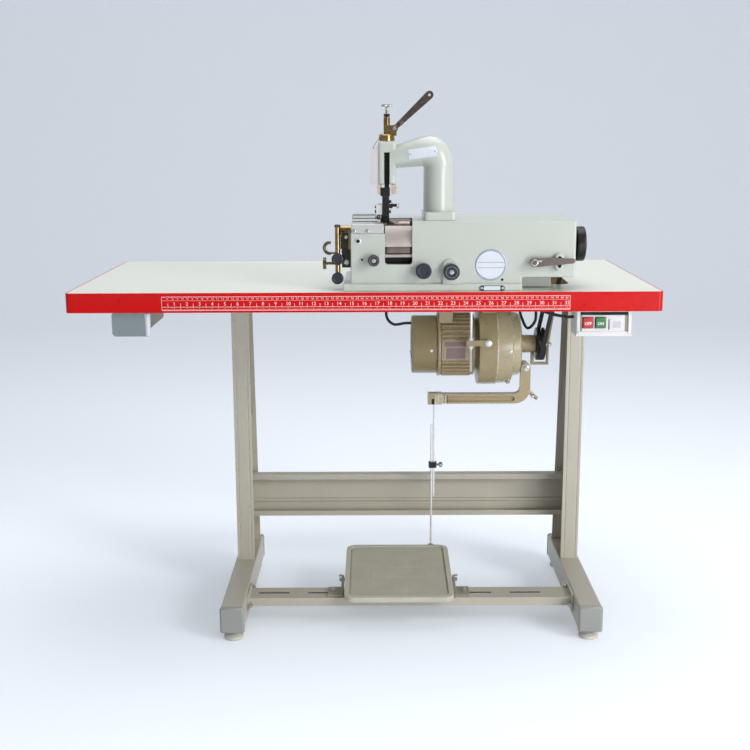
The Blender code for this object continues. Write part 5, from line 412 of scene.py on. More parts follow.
pad_rubber = finish("pad_rubber", "pad", (205, 202, 192), 0.55, cloud=30, grain=0.2,
    edge_wear_and_highlight=(150, 146, 136), edge=1)
bright_steel = finish("bright_steel", "steel", (196, 196, 192), 0.24, metal=1, mottle=0.06,
    cloud=20, spread=0.09, grain=0.08, fine=900, relief=0.1)
for side, x in (("left", -288), ("right", 482)):
    for end, y in (("_front_pad", -252), ("_back_pad", 166)):
        turned((x, y, 0), UP, [(0, 19.6), (0.6, 20.6), (1.6, 21), (5.6, 21), (7, 20.6), (8, 19.4),
            (9, 17), (11.6, 12.4), (13.6, 9.4)], 64)
        dressed(side + end, pad_rubber)
        turned((x, y, 0), UP, [(13.2, 5), (38, 5)], 28)
        hexagon((x, y, 13.8), UP, 15, 5.4)
        outlined(side + end + "_screw", bright_steel)

# The columns are pressed channels, open to the inside, each welded under a flat rail that is
# screwed to the tabletop. A slanting flat bar stiffens each, and weld beads show at its feet.
for side in ("left", "right"):
    refined(side + "_column", stand_paint, 0.9)
    refined(side + "_brace", stand_paint, 0.5)


def beaded(start, end, radius):
    """Adds a weld bead between two places: a row of overlapping ripples."""
    step = 2.2
    start, end = Vector(start), Vector(end)
    run = end - start
    count = max(2, int(run.length / step))
    profile = []
    for i in range(count):
        share = i * run.length / count
        profile += [(share, radius * 0.78), (share + step * 0.45, radius)]
    turned(start, run, profile + [(run.length, radius * 0.6)], 12)


for web, low, high in ((-308, -306, -270), (502, 464, 500)):
    for y in (16.8, 158.6):
        beaded((low, y, 77.9), (high, y, 77.9), 1.5)
    beaded((web, 22, 77.9), (web, 154, 77.9), 1.4)
    beaded((web, 20, 714.6), (web, 96, 714.6), 1.4)
outlined("column_welds", stand_paint, crease=70)

# The stretcher at the back is a channel with turned lips and one pressed rib. The crossbar is
# a slotted channel between the feet, bolted to both through a plate at each end.
refined("rear_stretcher", stand_paint, 0.7)
bar = refined("pedal_crossbar", stand_paint, 0.7)
slot_shade = finish("slot_shade", "stand", (26, 24, 20), 0.8, mottle=0.2, cloud=9)
tinted(bar, slot_shade, lambda middle, normal: (abs(normal.z) < 0.5 and -169.5 < middle.y < -160.5
    and 62 < middle.z < 66.1 and -250 < middle.x < 400))
zinc_plate = finish("zinc_plate", "zinc", (188, 186, 176), 0.34, metal=0.9, mottle=0.1, cloud=120,
    spread=0.12, fine=800)
for x, side in ((-258.7, 1), (452.7, -1)):
    for y, z in ((-198, 50), (-131, 66)):
        hexagon((x, y, z), (side, 0, 0), 10, 5, 8.6, 3)
for x in (-288, 482):
    for y in (-120, 240):
        hexagon((x, y, 714.4), DOWN, 10, 4.6, 9)
for x, side in ((-307.6, -1), (501.6, 1)):
    for z in (182, 236):
        hexagon((x, 113, z), (side, 0, 0), 10, 4, 9)
outlined("stand_bolts", zinc_plate)

# The treadle is a beige painted casting with a raised rim, worn bright along its edges. A
# thin rubber mat with fine ribs and a plain panel lies in it, and it rocks on a steel axle.
treadle_paint = finish("treadle_paint", "treadle", (196, 191, 176), 0.5, mottle=0.08, cloud=16,
    grain=0.35, fine=300, relief=0.4, edge_wear_and_highlight=(222, 218, 206), edge=2, patchy=0.44)
refined("pedal", treadle_paint, 1, 3)
mat_rubber = finish("mat_rubber", "mat", (192, 188, 174), 0.78, mottle=0.06, cloud=20, grain=0.35,
    fine=520, relief=0.4, edge_wear_and_highlight=(184, 180, 164), edge=1, speck=(132, 128, 114), specks=0.2)
TREAD_TILT = radians(4.1)
AXLE = Vector((72, -108, 74.5))
slab((-108.4, -112.6, 10.9), (108.4, 140.6, 13.4))
# The fine ribs run from side to side, and stop at a groove round the plain panel.
for i in range(72):
    y = -110.6 + 249.2 * i / 71
    runs = [(-106, 106)]
    if -20 < y < 34:
        runs = [(-106, -64), (-61, 61), (64, 106)]
    if min(abs(y + 20), abs(y - 34)) < 1.8:
        runs = [(-106, -64), (64, 106)]
    for left, right in runs:
        slab((left, y - 1, 13.3), (right, y + 1, 14.4))
tread_place = Matrix.Translation(AXLE / 1000) @ Matrix.Rotation(TREAD_TILT, 4, "X")
bmesh.ops.transform(loose, matrix=tread_place, verts=loose.verts[:])
dressed("pedal_mat", mat_rubber)
turned((-62.5, -108, 74.5), RIGHT, [(0, 3.6), (0.9, 4.5), (268.1, 4.5), (269, 3.6)], 32)
dressed("pedal_axle", bright_steel)
cast_beige = finish("cast_beige", "iron", (150, 143, 126), 0.5, mottle=0.1, cloud=30, grain=0.4,
    fine=340, relief=0.4, edge_wear_and_highlight=(205, 200, 186), edge=1.4, patchy=0.46)
for side in ("left", "right"):
    refined(side + "_pedal_bracket", cast_beige, 0.7)
for foot_x, boss_x in ((-74, -59.7), (218, 203.7)):
    hexagon((foot_x, -164.5, 70.3), UP, 10, 5, 7.5, 3)
    hexagon((boss_x, -108, 83), UP, 7, 3)
outlined("bracket_bolts", zinc_plate)


# The motor's frame is a die-cast cylinder with round-edged cooling ribs along it, under a
# khaki hammered paint. A bare printed plate is riveted on its front between the ribs.
motor_paint = finish("motor_paint", "motor_paint", (166, 148, 112), 0.32, mottle=0.06, cloud=24,
    grain=0.2, fine=260, edge_wear_and_highlight=(216, 208, 184), edge=1.3, patchy=0.46, coat=0.15)
MOTOR_AXIS = (80, 586)
turned((165.4, *MOTOR_AXIS), RIGHT, [(0, 72.5), (1.5, 74.5), (6, 74.5), (7.5, 73), (8.5, 67.9),
    (77, 67.9), (78, 71.5), (79.5, 72.6), (85, 72.6), (85, 60), (93.7, 60)], 96)


def ribbed(angle, start, end, foot, crest, width):
    """Adds a rib along the motor with rounded edges and ends, at an angle round its axis."""
    turn = Matrix.Rotation(angle, 4, "X")
    section = [(foot, -width * 0.62), (crest - 1.6, -width * 0.5), (crest - 0.4, -width * 0.34),
        (crest, 0), (crest - 0.4, width * 0.34), (crest - 1.6, width * 0.5), (foot, width * 0.62)]
    rings = []
    for x, share in ((start, 0), (start + 1.2, 0.75), (start + 3, 1), (end - 3, 1),
            (end - 1.2, 0.75), (end, 0)):
        ring = []
        for radius, side in section:
            spot = Vector((x, side, foot + (radius - foot) * share))
            spot = turn @ spot + Vector((0, *MOTOR_AXIS))
            ring.append(loose.verts.new(spot / 1000))
        rings.append(ring)
    skinned(rings)


for angle in range(5, 360, 10):
    behind_plate = 70 < angle < 110
    if not behind_plate:
        ribbed(radians(angle), 173.4, 244.4, 66, 74.3, 5.4)
dressed("motor_frame", motor_paint, crease=50)


def wrapped(axis, radius, thick, start, end, low, high):
    """Adds a thin plate bent round an axis, from an angle below its front to one above it."""
    rings = []
    for i in range(15):
        angle = radians(low + (high - low) * i / 14)
        ring = []
        for x, r in ((start, radius), (end, radius), (end, radius + thick),
                (start, radius + thick)):
            spot = Vector((x, axis[0] - r * cos(angle), axis[1] + r * sin(angle)))
            ring.append(loose.verts.new(spot / 1000))
        rings.append(ring)
    skinned(rings)


wrapped(MOTOR_AXIS, 67, 7, 174, 243, -21, 18)
outlined("motor_plate_pad", motor_paint)
plate_print = finish("motor_plate_print", "zinc", (164, 146, 128), 0.42, metal=0.3, grain=0.05,
    edge_wear_and_highlight=(214, 210, 200), edge=0.8)
wrapped(MOTOR_AXIS, 74, 0.5, 178, 234, -19, 15)
outlined("motor_plate", plate_print)
plate_field = finish("motor_plate_field", "zinc", (136, 112, 112), 0.45, mottle=0.06, cloud=80,
    grain=0.04)
wrapped(MOTOR_AXIS, 74.45, 0.1, 180, 232, 5.5, 13.6)
wrapped(MOTOR_AXIS, 74.45, 0.1, 184, 228, -16.6, 3)
outlined("motor_plate_field", plate_field)


def screwed(x, radius, angle, head, height):
    """Adds a slotted screw that faces out from the motor, at an angle above its front."""
    turn = radians(angle)
    out = (0, -cos(turn), sin(turn))
    slotted((x, MOTOR_AXIS[0] + radius * out[1], MOTOR_AXIS[1] + radius * out[2]), out, head,
        height)


for x in (181, 231):
    for angle in (-16.4, 12.8):
        screwed(x, 74.4, angle, 1.5, 1)
outlined("motor_plate_rivets", bright_steel)

# The end cover is a smooth cup over the fan. Its face has a ring of cooling slots and three
# screws, and its skirt one more at the front that holds it to the frame.
turned((106.1, *MOTOR_AXIS), RIGHT, [(0.6, 12), (0, 14), (0, 63), (0.4, 65.2), (1.4, 66.9),
    (3, 67.8), (5, 68), (56.6, 68), (57.4, 67.2), (59, 67.2)], 96)
# The cover's paint is darker than the frame's as painted shade, for the left end away from the
# light.
cover_paint_shaded = finish("cover_paint_shaded", "motor_paint", (146, 128, 92), 0.34, mottle=0.07, cloud=24,
    grain=0.2, fine=260, edge_wear_and_highlight=(206, 196, 170), edge=1.3, patchy=0.46, coat=0.15)
dressed("motor_end_cover", cover_paint_shaded)
# Black stands for slots, holes and gaps, and elsewhere it is painted shade in dark recesses.
gap_shade_black = finish("gap_shade_black", "motor_paint", (14, 14, 13), 0.8, mottle=0.2, cloud=9)
face = Matrix.Translation(Vector((106.1, *MOTOR_AXIS)) / 1000)
for i in range(20):
    before = len(loose.verts)
    slab((-0.15, -2, 24), (0.2, 2, 46))
    bmesh.ops.transform(loose, matrix=face @ Matrix.Rotation(radians(18 * i), 4, "X"),
        verts=loose.verts[:][before:])
outlined("end_cover_slots", gap_shade_black)
for radius in (22, 48):
    turned((106.1, *MOTOR_AXIS), RIGHT, [(0.3, radius - 1.2), (-0.5, radius - 0.5),
        (-0.5, radius + 0.5), (0.3, radius + 1.2), (0.3, radius - 1.2)], 72)
outlined("end_cover_rings", motor_paint)

# The clutch housing is a wide flange with a stepped cover screwed on it, a neck for the
# output shaft, and the boss that the clutch lever swings on. The seams are bare bright edges.
turned((259.4, *MOTOR_AXIS), RIGHT, [(0, 92.5), (1.5, 94), (40.6, 94), (41.6, 93.4), (41.8, 91.6),
    (43.2, 91.6), (43.6, 92.2), (62, 91), (75, 89.2), (77.4, 87.6), (78.4, 85), (78.6, 76.5),
    (79.8, 75.2), (92, 73.4), (96.8, 71.4), (99.4, 67), (100, 62), (100, 30), (100.8, 26.6),
    (103, 23.6), (106, 21.6), (110, 21), (136.6, 21), (137.8, 19.8)], 112)
housing = outlined("clutch_housing_body", motor_paint, "machine", "clutch_housing", crease=30)
# The stepped cover's paint is paler than the housing's as painted light, for the side that faces
# the lamp.
step_paint_lit = finish("step_paint_lit", "motor_paint", (182, 168, 136), 0.3, mottle=0.06, cloud=24,
    grain=0.2, fine=260, edge_wear_and_highlight=(222, 214, 192), edge=1.3, patchy=0.46, coat=0.2)
tinted(housing, step_paint_lit, lambda middle, normal: 302.6 < middle.x < 362)
seam = finish("bare_seam", "motor_paint", (214, 208, 190), 0.3, metal=0.5, mottle=0.1, cloud=50)
turned((300.4, *MOTOR_AXIS), RIGHT, [(0, 90), (0, 94.1), (2.3, 94.1), (2.3, 90), (0, 90)], 112)
turned((336.2, *MOTOR_AXIS), RIGHT, [(0, 80), (0, 88.6), (1.9, 86.9), (1.9, 80), (0, 80)], 112)
outlined("clutch_seams", seam, crease=30)
slab((357, 64, 526), (373, 88.4, 542))
turned((372.4, 64, 534), BACK, [(-0.2, 10), (0.8, 11), (24.2, 11), (25.2, 10)])
outlined("clutch_lever_boss", motor_paint)
for i in range(3):
    angle = radians(90 + 120 * i)
    slotted((106, MOTOR_AXIS[0] + 54 * cos(angle), MOTOR_AXIS[1] + 54 * sin(angle)), LEFT, 3.2,
        1.8)
screwed(151, 67.9, -3, 3.4, 1.6)
for angle in (-2, 58, 118, 178, -62, -122):
    screwed(330, 90, angle, 4.2, 2)
hexagon((330, 46, 505.6), (0, -0.25, -1), 10, 6, bolt=3)
outlined("motor_screws", bright_steel)

# The motor hangs from a plate bolted under the tabletop, on two saddles. A threaded rod with
# two nuts and a link arm on the flange's front sets the belt's tension.
refined("motor_bracket", motor_paint, 1.2)
bright_rod = finish("bright_rod", "steel", (226, 226, 222), 0.32, metal=0.45, cloud=40, grain=0.06)


def threaded(start, end, radius, pitch=1, steps=18):
    """Adds a rod with a fine thread between two places."""
    run = Vector(end) - Vector(start)
    count = int(run.length / pitch)
    profile = [(0, radius * 0.7)]
    for i in range(count):
        profile += [(pitch * (i + 0.3), radius), (pitch * (i + 0.8), radius * 0.82)]
    turned(start, run, profile + [(run.length, radius * 0.7)], steps)


threaded((238.4, -20, 539.9), (238.4, -20, 590), 3.1, 1.25)
turned((238.4, -20, 590), UP, [(0, 3.2), (129.6, 3.2)], 24)
for z in (612.6, 594):
    hexagon((238.4, -20, z), UP, 11.5, 5.8)
turned((278.2, -28, 606), BACK, [(0, 5.6), (1, 7.6), (2, 8), (4, 8), (4, 6.2), (22, 6.2)], 40)
dressed("tension_rod", bright_rod, crease=30)
slab((228.4, -25, 599.6), (279, -15.2, 612.4))
turned((278.6, -25, 606), BACK, [(0, 6.4), (10, 6.4)], 32)
outlined("tension_link", motor_paint)
for x in (186, 280):
    for y in (18, 142):
        hexagon((x, y, 711.6), DOWN, 12, 5, 10.5, 3.6)
outlined("motor_bracket_bolts", zinc_plate)

# The belt guard is a bent strap from the neck, under the pulley and up to the table. The
# pulley is a small black iron one, on the clutch's output shaft.
refined("belt_guard", motor_paint, 1.2, 3)
hexagon((429, 80, 584), RIGHT, 10, 4.6, bolt=3)
hexagon((424, 80, 584), LEFT, 10, 3)
outlined("belt_guard_bolt", zinc_plate)
black_iron = finish("black_iron", "iron", (34, 33, 32), 0.36, metal=0.55, mottle=0.12, cloud=30,
    grain=0.3, fine=420, relief=0.3, edge_wear_and_highlight=(128, 124, 116), coat=0.1)


def grooved(rim):
    """The profile of a rim with a V groove, along the axis from its left to its right edge."""
    left = [(-10, rim - 1.4), (-9, rim - 0.2), (-8.2, rim), (-6.4, rim), (-5.6, rim - 0.3),
        (-3.2, rim - 8)]
    return left + [(-along, radius) for along, radius in reversed(left)]


turned((408, *MOTOR_AXIS), RIGHT, [(-40.6, 7.4), (-40, 8), (-10, 8), (-10, 15)] + grooved(38.4)
    + [(10, 30), (6.6, 28.4), (6.6, 16), (9.9, 15)], 80)
dressed("motor_pulley", black_iron)
hexagon((416.6, *MOTOR_AXIS), RIGHT, 19, 2.6, 12, 6.5)
outlined("motor_pulley_nut", bright_steel, "motor_pulley_body")

# The belt is a cogless V-belt of black rubber over a woven core, dusty on its outer face,
# from the small pulley up through the slot in the table to the pulley on the main shaft.
belt_rubber = finish("belt_rubber", "rubber", (30, 30, 31), 0.72, mottle=0.25, cloud=40, grain=0.5,
    fine=900, edge_wear_and_highlight=(86, 84, 80), edge=0.9, patchy=0.42)
refined("drive_belt", belt_rubber, crease=30)

# The clutch lever is a cranked casting with a channel along its arm and a slotted end block,
# on a bolt in the housing's boss. An adjusting screw with a lock nut leans out of its elbow.
refined("clutch_lever", motor_paint, 0.8)
threaded((384, 52, 472.4), (400.6, 52, 458.4), 3.1)
hexagon((389.6, 52, 467.6), (0.77, 0, -0.64), 10, 5)
hexagon((372.4, 43.8, 534), FRONT, 12.5, 5.2, 9.6, 4)
outlined("clutch_lever_bolts", bright_steel, "clutch_lever_body", crease=30)
for x in (176.6, 190):
    slab((x, 40.2, 450), (x + 0.8, 41.4, 471))
slab((153.4, 39.9, 449.4), (159, 40.5, 462.4))
outlined("lever_block_lines", gap_shade_black, "clutch_lever_body")
for i in range(5):
    slab((161.4 + 3.4 * i, 39.9, 450.6), (163.1 + 3.4 * i, 40.6, 473.4))
for x in (178.6, 185.2):
    slab((x, 40.4, 451.4), (x + 1.8, 41.4, 470.4))
outlined("lever_block_ribs", seam, "clutch_lever_body")

# The pull rods are two bright wires side by side in a clamp with a thumb screw. The upper one
# ends in a hook in the lever's end block, the lower one stands in the treadle's eye.


def wired(points, radius, steps=20):
    """Adds a round wire along a line of places."""
    points = [Vector(point) for point in points]
    rings = []
    side = Vector((1, 0, 0))
    for i, point in enumerate(points):
        ahead = points[min(i + 1, len(points) - 1)] - points[max(i - 1, 0)]
        ahead.normalize()
        side = side - ahead * side.dot(ahead)
        if side.length < 0.1:
            side = Vector((0, 1, 0)) - ahead * ahead.y
        side.normalize()
        other = ahead.cross(side)
        width = radius[i] if isinstance(radius, list) else radius
        rings.append([loose.verts.new((point + width * (side * cos(2 * pi * j / steps) + other
            * sin(2 * pi * j / steps))) / 1000) for j in range(steps)])
    skinned(rings)


ROD_X, ROD_Y, HOOK_Z = 159.4, 52, 462
hook = [(ROD_X, ROD_Y, 222.2)]
for i in range(9):
    angle = radians(180 - 90 * i / 8)
    hook.append((ROD_X, ROD_Y + 6 + 6 * cos(angle), HOOK_Z - 6 + 6 * sin(angle)))
hook.append((ROD_X, ROD_Y + 8.4, HOOK_Z))
wired(hook, 2.5)
dressed("pull_rod_upper", bright_rod, crease=50)
wired([(ROD_X - 5.6, ROD_Y, 77.6), (ROD_X - 5.6, ROD_Y, 250), (ROD_X - 5.6, ROD_Y, 398)], 2.5)
dressed("pull_rod_lower", bright_rod, crease=50)
slab((147.4, 46, 293), (165.8, 58, 307))
outlined("rod_clamp", black_iron, "pull_rod")
threaded((165.6, 52, 300), (180.8, 52, 300), 3)
turned((172, 52, 300), RIGHT, [(0, 5.4), (0.8, 6.6), (6.6, 6.6), (7.4, 5.4)], 12)
outlined("rod_clamp_screw", bright_steel, "pull_rod", crease=30)
turned((ROD_X - 5.6, ROD_Y, 90), UP, [(0, 4.2), (1, 5), (9, 5), (12, 3.4)], 24)
outlined("rod_foot_collar", black_iron, "pull_rod")

# The switch box is a grey plastic case screwed up under the board. Its face is set back behind
# a deep rim, and two bare plates stand beside the buttons.
switch_plastic = finish("switch_plastic", "switch", (222, 219, 221), 0.42, cloud=22, grain=0.22,
    fine=900, edge_wear_and_highlight=(236, 236, 232), edge=0.8, patchy=0.52)
plate_white = finish("plate_white", "switch", (216, 222, 228), 0.4, mottle=0.03, cloud=30,
    grain=0.08, speck=(190, 194, 204), specks=0.3)
refined("switch_box", switch_plastic, 0.6)
slab((429, -285.6, 667.4), (541, -224, 672.6))
outlined("switch_box_lip", switch_plastic)
slab((497.6, -283.6, 680.6), (523.4, -282.3, 701))
outlined("switch_plate", plate_white)
slab((502.4, -283.8, 684), (519.4, -283.4, 697.6))
outlined("switch_plate_field", finish("switch_plate_field", "switch", (206, 192, 204), 0.5,
    mottle=0.06, cloud=120, grain=0.05))
# Painted shade: a black band across the top of the recess under the rim, and a dark line beside
# the plate.
slab((436.4, -285.3, 710.6), (533.4, -284.8, 716.8))
slab((494.4, -283, 680), (495.8, -282.3, 702))
outlined("switch_box_painted_shade", gap_shade_black)
# The well's side walls are painted a dark tan as shade inside the deep rim.
slab((527.6, -283, 674.2), (533.8, -282.3, 709.8))
slab((436.2, -283, 674.2), (440.8, -282.3, 709.8))
outlined("switch_well_painted_shade", finish("switch_well", "switch", (150, 142, 124), 0.6, mottle=0.1,
    cloud=40))
for x in (434.5, 535.5):
    slotted((x, -285.9, 676), FRONT, 2.2, 0.9)
outlined("switch_screws", zinc_plate)

# The buttons are moulded plastic keys, red for off and green for on, each with a white word
# printed on its slightly domed face.
red_key = finish("red_key", "red", (180, 12, 18), 0.32, edge_wear_and_highlight=(232, 96, 90), edge=0.6, patchy=0.56,
    coat=0.3)
green_key = finish("green_key", "green", (10, 112, 52), 0.32, edge_wear_and_highlight=(92, 186, 120), edge=0.6,
    patchy=0.56, coat=0.3)
for node, key, word, x in (("off_button", red_key, "OFF", 452.5),
        ("on_button", green_key, "ON", 478)):
    refined(node, key, 1.4, 3)
    lettered(word, 6, (x, -287.05, 693.4), 0.15, 0.2)
    outlined(node + "_word", white_ink, BODY_OF[node])

# The drawer is a small moulded tray in a satin grey, hung in a folded sheet runner under the
# board's left end.
drawer_plastic = finish("drawer_plastic", "drawer", (134, 144, 148), 0.46, mottle=0.06, cloud=14,
    grain=0.2, fine=800, edge_wear_and_highlight=(182, 190, 194), edge=0.8, patchy=0.53)
tray = refined("drawer", drawer_plastic, 0.9, 3)
# The tray's side walls behind its front are painted a darker tan as shade.
tray_shade = finish("tray_side_shade", "drawer", (134, 122, 104), 0.5, mottle=0.08, cloud=20, grain=0.2)
tinted(tray, tray_shade, lambda middle, normal: abs(normal.x) > 0.7 and middle.y > -276)
turned((-440.6, -276.6, 668.6), UP, [(0, 4.4), (1.4, 5.6), (46.4, 6.6)], 40)
outlined("drawer_corner", finish("drawer_corner", "drawer", (206, 210, 220), 0.3, mottle=0.04,
    cloud=40, grain=0.05), BODY_OF["drawer"])
refined("drawer_runner", zinc_plate, 0.3)

# The motor's cable is a round black rubber flex. It leaves the switch box sideways, is held
# under the board by plastic clips, and goes into the motor's terminal boss.
flex = finish("flex", "rubber", (26, 27, 29), 0.55, mottle=0.12, cloud=40, grain=0.35, fine=1400,
    edge_wear_and_highlight=(70, 70, 72), edge=0.5)
ROUTE = [Vector(place) for place in ((428.7, -250, 702), (413, -250, 702), (380, -225, 706),
    (364, -150, 711), (372, -60, 711), (385, 0, 690), (390, 35, 648), (378, 75, 624),
    (369, 115, 642), (362, 142, 672), (348, 160, 696), (315, 172, 709), (240, 174, 711),
    (150, 172, 711), (90, 160, 710), (56, 125, 690), (48, 98, 652), (64, 84, 633), (92.1, 80, 636),
    (106.1, 80, 636))]
# A smooth line is drawn through the route's places, in steps of about 3 mm.
ends = [2 * ROUTE[0] - ROUTE[1]] + ROUTE + [2 * ROUTE[-1] - ROUTE[-2]]
line = []
for before, start, end, after in zip(ends, ends[1:], ends[2:], ends[3:]):
    parts = max(2, round((end - start).length / 3))
    for i in range(parts):
        t = i / parts
        line.append((2 * start + (end - before) * t + (2 * before - 5 * start + 4 * end - after)
            * t ** 2 + (3 * start - before - 3 * end + after) * t ** 3) / 2)
wired(line + [ROUTE[-1]], 3.3, 16)
dressed("motor_cable", flex, crease=60)
for x, y, wide, deep in ((372.5, -60, 4.2, 3), (240, 174, 3, 4.2), (150, 172, 3, 4.2)):
    slab((x - wide, y - deep, 706.6), (x + wide, y + deep, 715.2))
outlined("cable_clips", plate_white)

# The bedplate and the head's body are iron castings under one pale grey-green enamel, ground
# flat on their joints. The enamel is glossy, slightly wavy, and paler along the sharp edges, where
# it is thin and where a highlight is painted.
enamel = finish("enamel", "enamel", (193, 198, 189), 0.3, mottle=0.01, cloud=6, spread=0.02,
    grain=0.05, fine=150, relief=0.15, edge_wear_and_highlight=(228, 231, 225), edge=1.4, coat=0.3)
refined("head_base", enamel, 0.4)
refined("head_body", enamel, 0.7)
slab((-25.8, -276.3, 774.2), (317.6, -271, 777.6))
outlined("joint_fill", enamel)
HEAD_FRONT = -277
plate_steel = finish("plate_steel", "steel", (206, 210, 214), 0.3, metal=0.6, grain=0.06)
turned((-12.1, -277.2, 860.2), FRONT, [(0, 6), (0.5, 6), (1.1, 5.2), (1.1, 4.2)], 40, 3.6)
outlined("head_hole_ring", plate_steel)
turned((-12.1, HEAD_FRONT, 860.2), FRONT, [(0, 3.7), (0.5, 3.7)], 24)
turned((278, HEAD_FRONT, 782), FRONT, [(0, 2.7), (0.25, 2.7)], 24)
turned((-3.9, HEAD_FRONT, 823.4), FRONT, [(0, 1.9), (6.4, 1.9), (7, 1.4)], 20)
outlined("head_holes", gap_shade_black)

# The badge and the plate below it are bare: a thin round plate with a rolled ring and two
# ruled lines, and a small oblong one with a screw at each end.
BADGE_X, BADGE_Z = 254.9, 811.6
turned((BADGE_X, -277.2, BADGE_Z), FRONT, [(0, 30.4), (0.7, 30.4)], 96)
for x in (227.6, 282.2):
    slotted((x, -277.8, BADGE_Z), FRONT, 1.6, 0.7)
outlined("badge_plate", plate_white)
turned((BADGE_X, -277.2, BADGE_Z), FRONT, [(0, 27.4), (0.9, 27.8), (1.4, 29), (1.4, 30.2),
    (0.9, 31.2), (0, 31.4), (0, 27.4)], 96)
badge_rim = finish("badge_rim", "steel", (164, 168, 188), 0.36, metal=0.4, mottle=0.08, grain=0.06)
outlined("badge_ring", badge_rim)
print_line = finish("print_line", "steel", (96, 104, 122), 0.4, metal=0.3, cloud=9, grain=0.05)
for z in (816.9, 806.3):
    slab((BADGE_X - 27.9, -278.1, z - 0.35), (BADGE_X + 27.9, -277.8, z + 0.35))
for x in (236.4, 277.6):
    turned((x, -285.2, 766), FRONT, [(0, 5.4), (0.9, 5.4)], 28)
slab((236, -286.1, 760.7), (278, -285.2, 771.4))
outlined("plate_lines", print_line)
slab((240.4, -286.5, 762.1), (273.6, -286, 770))
outlined("bed_plate_field", plate_white)

# The throat plate is ground steel with seven grooves across it, let into the casting's top and
# held by two slotted screws in its front face.
ground_steel = finish("ground_steel", "steel", (206, 206, 203), 0.36, metal=0.5, mottle=0.06,
    cloud=30, spread=0.1, grain=0.22, fine=500, relief=0.12, stretch=(0.06, 1, 1))
# The groove floors are painted dark as shade in the grooves.
groove_painted_shade = finish("groove_painted_shade", "steel", (92, 88, 88), 0.5, metal=0.8, mottle=0.3, grain=0.3)
bed = refined("throat_plate", ground_steel, 0.25)
tinted(bed, groove_painted_shade, lambda middle, normal: (891.6 < middle.z < 893.45 and middle.y > -276.4
    and (normal.z > 0.7 or abs(normal.y) > 0.7)))
slab((-24.6, -206, 893.2), (27, -68, 894.9))
slab((-24.6, -136, 893.2), (39.4, -68, 896.6))
steps = outlined("throat_steps", ground_steel)
# The steps' front faces are painted dark as shade.
tinted(steps, groove_painted_shade, lambda middle, normal: normal.y < -0.7)
for x in (236.4, 277.6):
    slotted((x, -286.1, 766), FRONT, 2.4, 0.9)
for x in (-20.1, 6.2):
    slotted((x, -277.2, 880.6), FRONT, 3.8, 1.2)
outlined("head_screws", bright_steel)

# The knife guard is a curved steel sheet in front of the knife, with a slot and two rolled
# beads. The bell knife behind it is a thin hardened cup, ground bright to a bevelled edge.
sheet_steel = finish("sheet_steel", "steel", (200, 190, 184), 0.46, metal=0.85, cloud=40,
    spread=0.06, grain=0.12, fine=600, relief=0.1, stretch=(0.05, 1, 1))
refined("knife_guard", sheet_steel, 0.2, crease=50)
SHAFT_AXIS = (-215, 848)
# The faces of the guard's stiles are painted dark as shade, so that the dark slot runs across the
# window.
for low, high in ((42.4, 46.6), (94, 98.1)):
    wrapped(SHAFT_AXIS, 56.55, 0.3, low, high, -15.9, 1.4)
outlined("guard_stile_painted_shade", finish("stile_shade", "steel", (70, 60, 56), 0.4, metal=0.8,
    mottle=0.3), crease=60)
knife_steel = finish("knife_steel", "steel", (128, 112, 104), 0.2, metal=1, mottle=0.12, cloud=40,
    spread=0.06, relief=0.08, stretch=(1, 0.05, 0.05))
turned((46, *SHAFT_AXIS), RIGHT, [(34, 20), (42, 20), (42, 49.5), (1.5, 49.5), (0, 51.5), (0, 52),
    (2.6, 52), (2.8, 51.8), (3, 52), (46.4, 52), (47.4, 51.4), (50, 49)], 128, 10.4)
dressed("bell_knife", knife_steel, crease=24)
# A black strip below the guard's foot is painted shade: the dark lower face of the knife in the
# window.
wrapped(SHAFT_AXIS, 53.4, 0.8, 42.6, 96.4, -39, -22.6)
outlined("guard_foot_painted_shade", gap_shade_black)
turned((80, *SHAFT_AXIS), RIGHT, [(0, 9.2), (0.8, 10), (245.3, 10), (245.3, 13.4), (246, 14),
    (254.6, 14), (255.3, 13.4), (255.3, 10), (362.7, 10), (363.5, 9.2)])
dressed("main_shaft", bright_steel, crease=30)

# The handwheel and the head's pulley are one black iron casting. The rim is rounded and dished
# outside, round a ground hub, and a set screw in the hub's side holds it to the shaft.
turned((408, *SHAFT_AXIS), RIGHT, grooved(36) + [(10, 14), (24, 14), (24, 31.5), (24.9, 34.2),
    (26.6, 35.3), (28.4, 35.5), (39.4, 35.5), (41.2, 35.2), (42.7, 34), (43.5, 31.6), (43.5, 27.6),
    (42.9, 26.7), (42.1, 26.4), (36.9, 26), (35.9, 25), (35.5, 23.4)], 112, 10.4)
dressed("handwheel", black_iron, crease=34)
turned((443.7, *SHAFT_AXIS), RIGHT, [(0, 13), (1.4, 13), (1.8, 12.6)], 40)
hexagon((445.3, *SHAFT_AXIS), RIGHT, 13, 5.2)
outlined("handwheel_bolt", bright_steel, "rotor")

# The feed roller under the foot is steel with fine teeth along it. The grinding stone below
# the knife's edge is a pink-grey aluminium oxide wheel with a steel flange on its own shaft.
turned((-59.8, -215, 876.5), RIGHT, [(0, 4.4), (0.6, 5), (83.8, 5)], 40)
turned((24, -215, 876.5), RIGHT, [(0, 15.4), (0.9, 17.8, 0.9), (35.1, 17.8, 0.9), (36, 15.4)], 120)
dressed("feed_roller", ground_steel, crease=20)
stone_grit = finish("stone_grit", "stone", (168, 138, 126), 0.92, mottle=0.2, cloud=200, grain=0.9,
    fine=1300, relief=0.5, speck=(220, 200, 190), specks=0.5)
turned((33, -197, 811), RIGHT, [(0, 14.2), (0.8, 15), (11.2, 15), (12, 14.2), (12, 6)], 80)
dressed("sharpening_stone", stone_grit)
turned((7.2, -197, 811), RIGHT, [(0, 3.6), (0.4, 4), (23.6, 4), (23.6, 9.2), (25.9, 9.2)], 40)
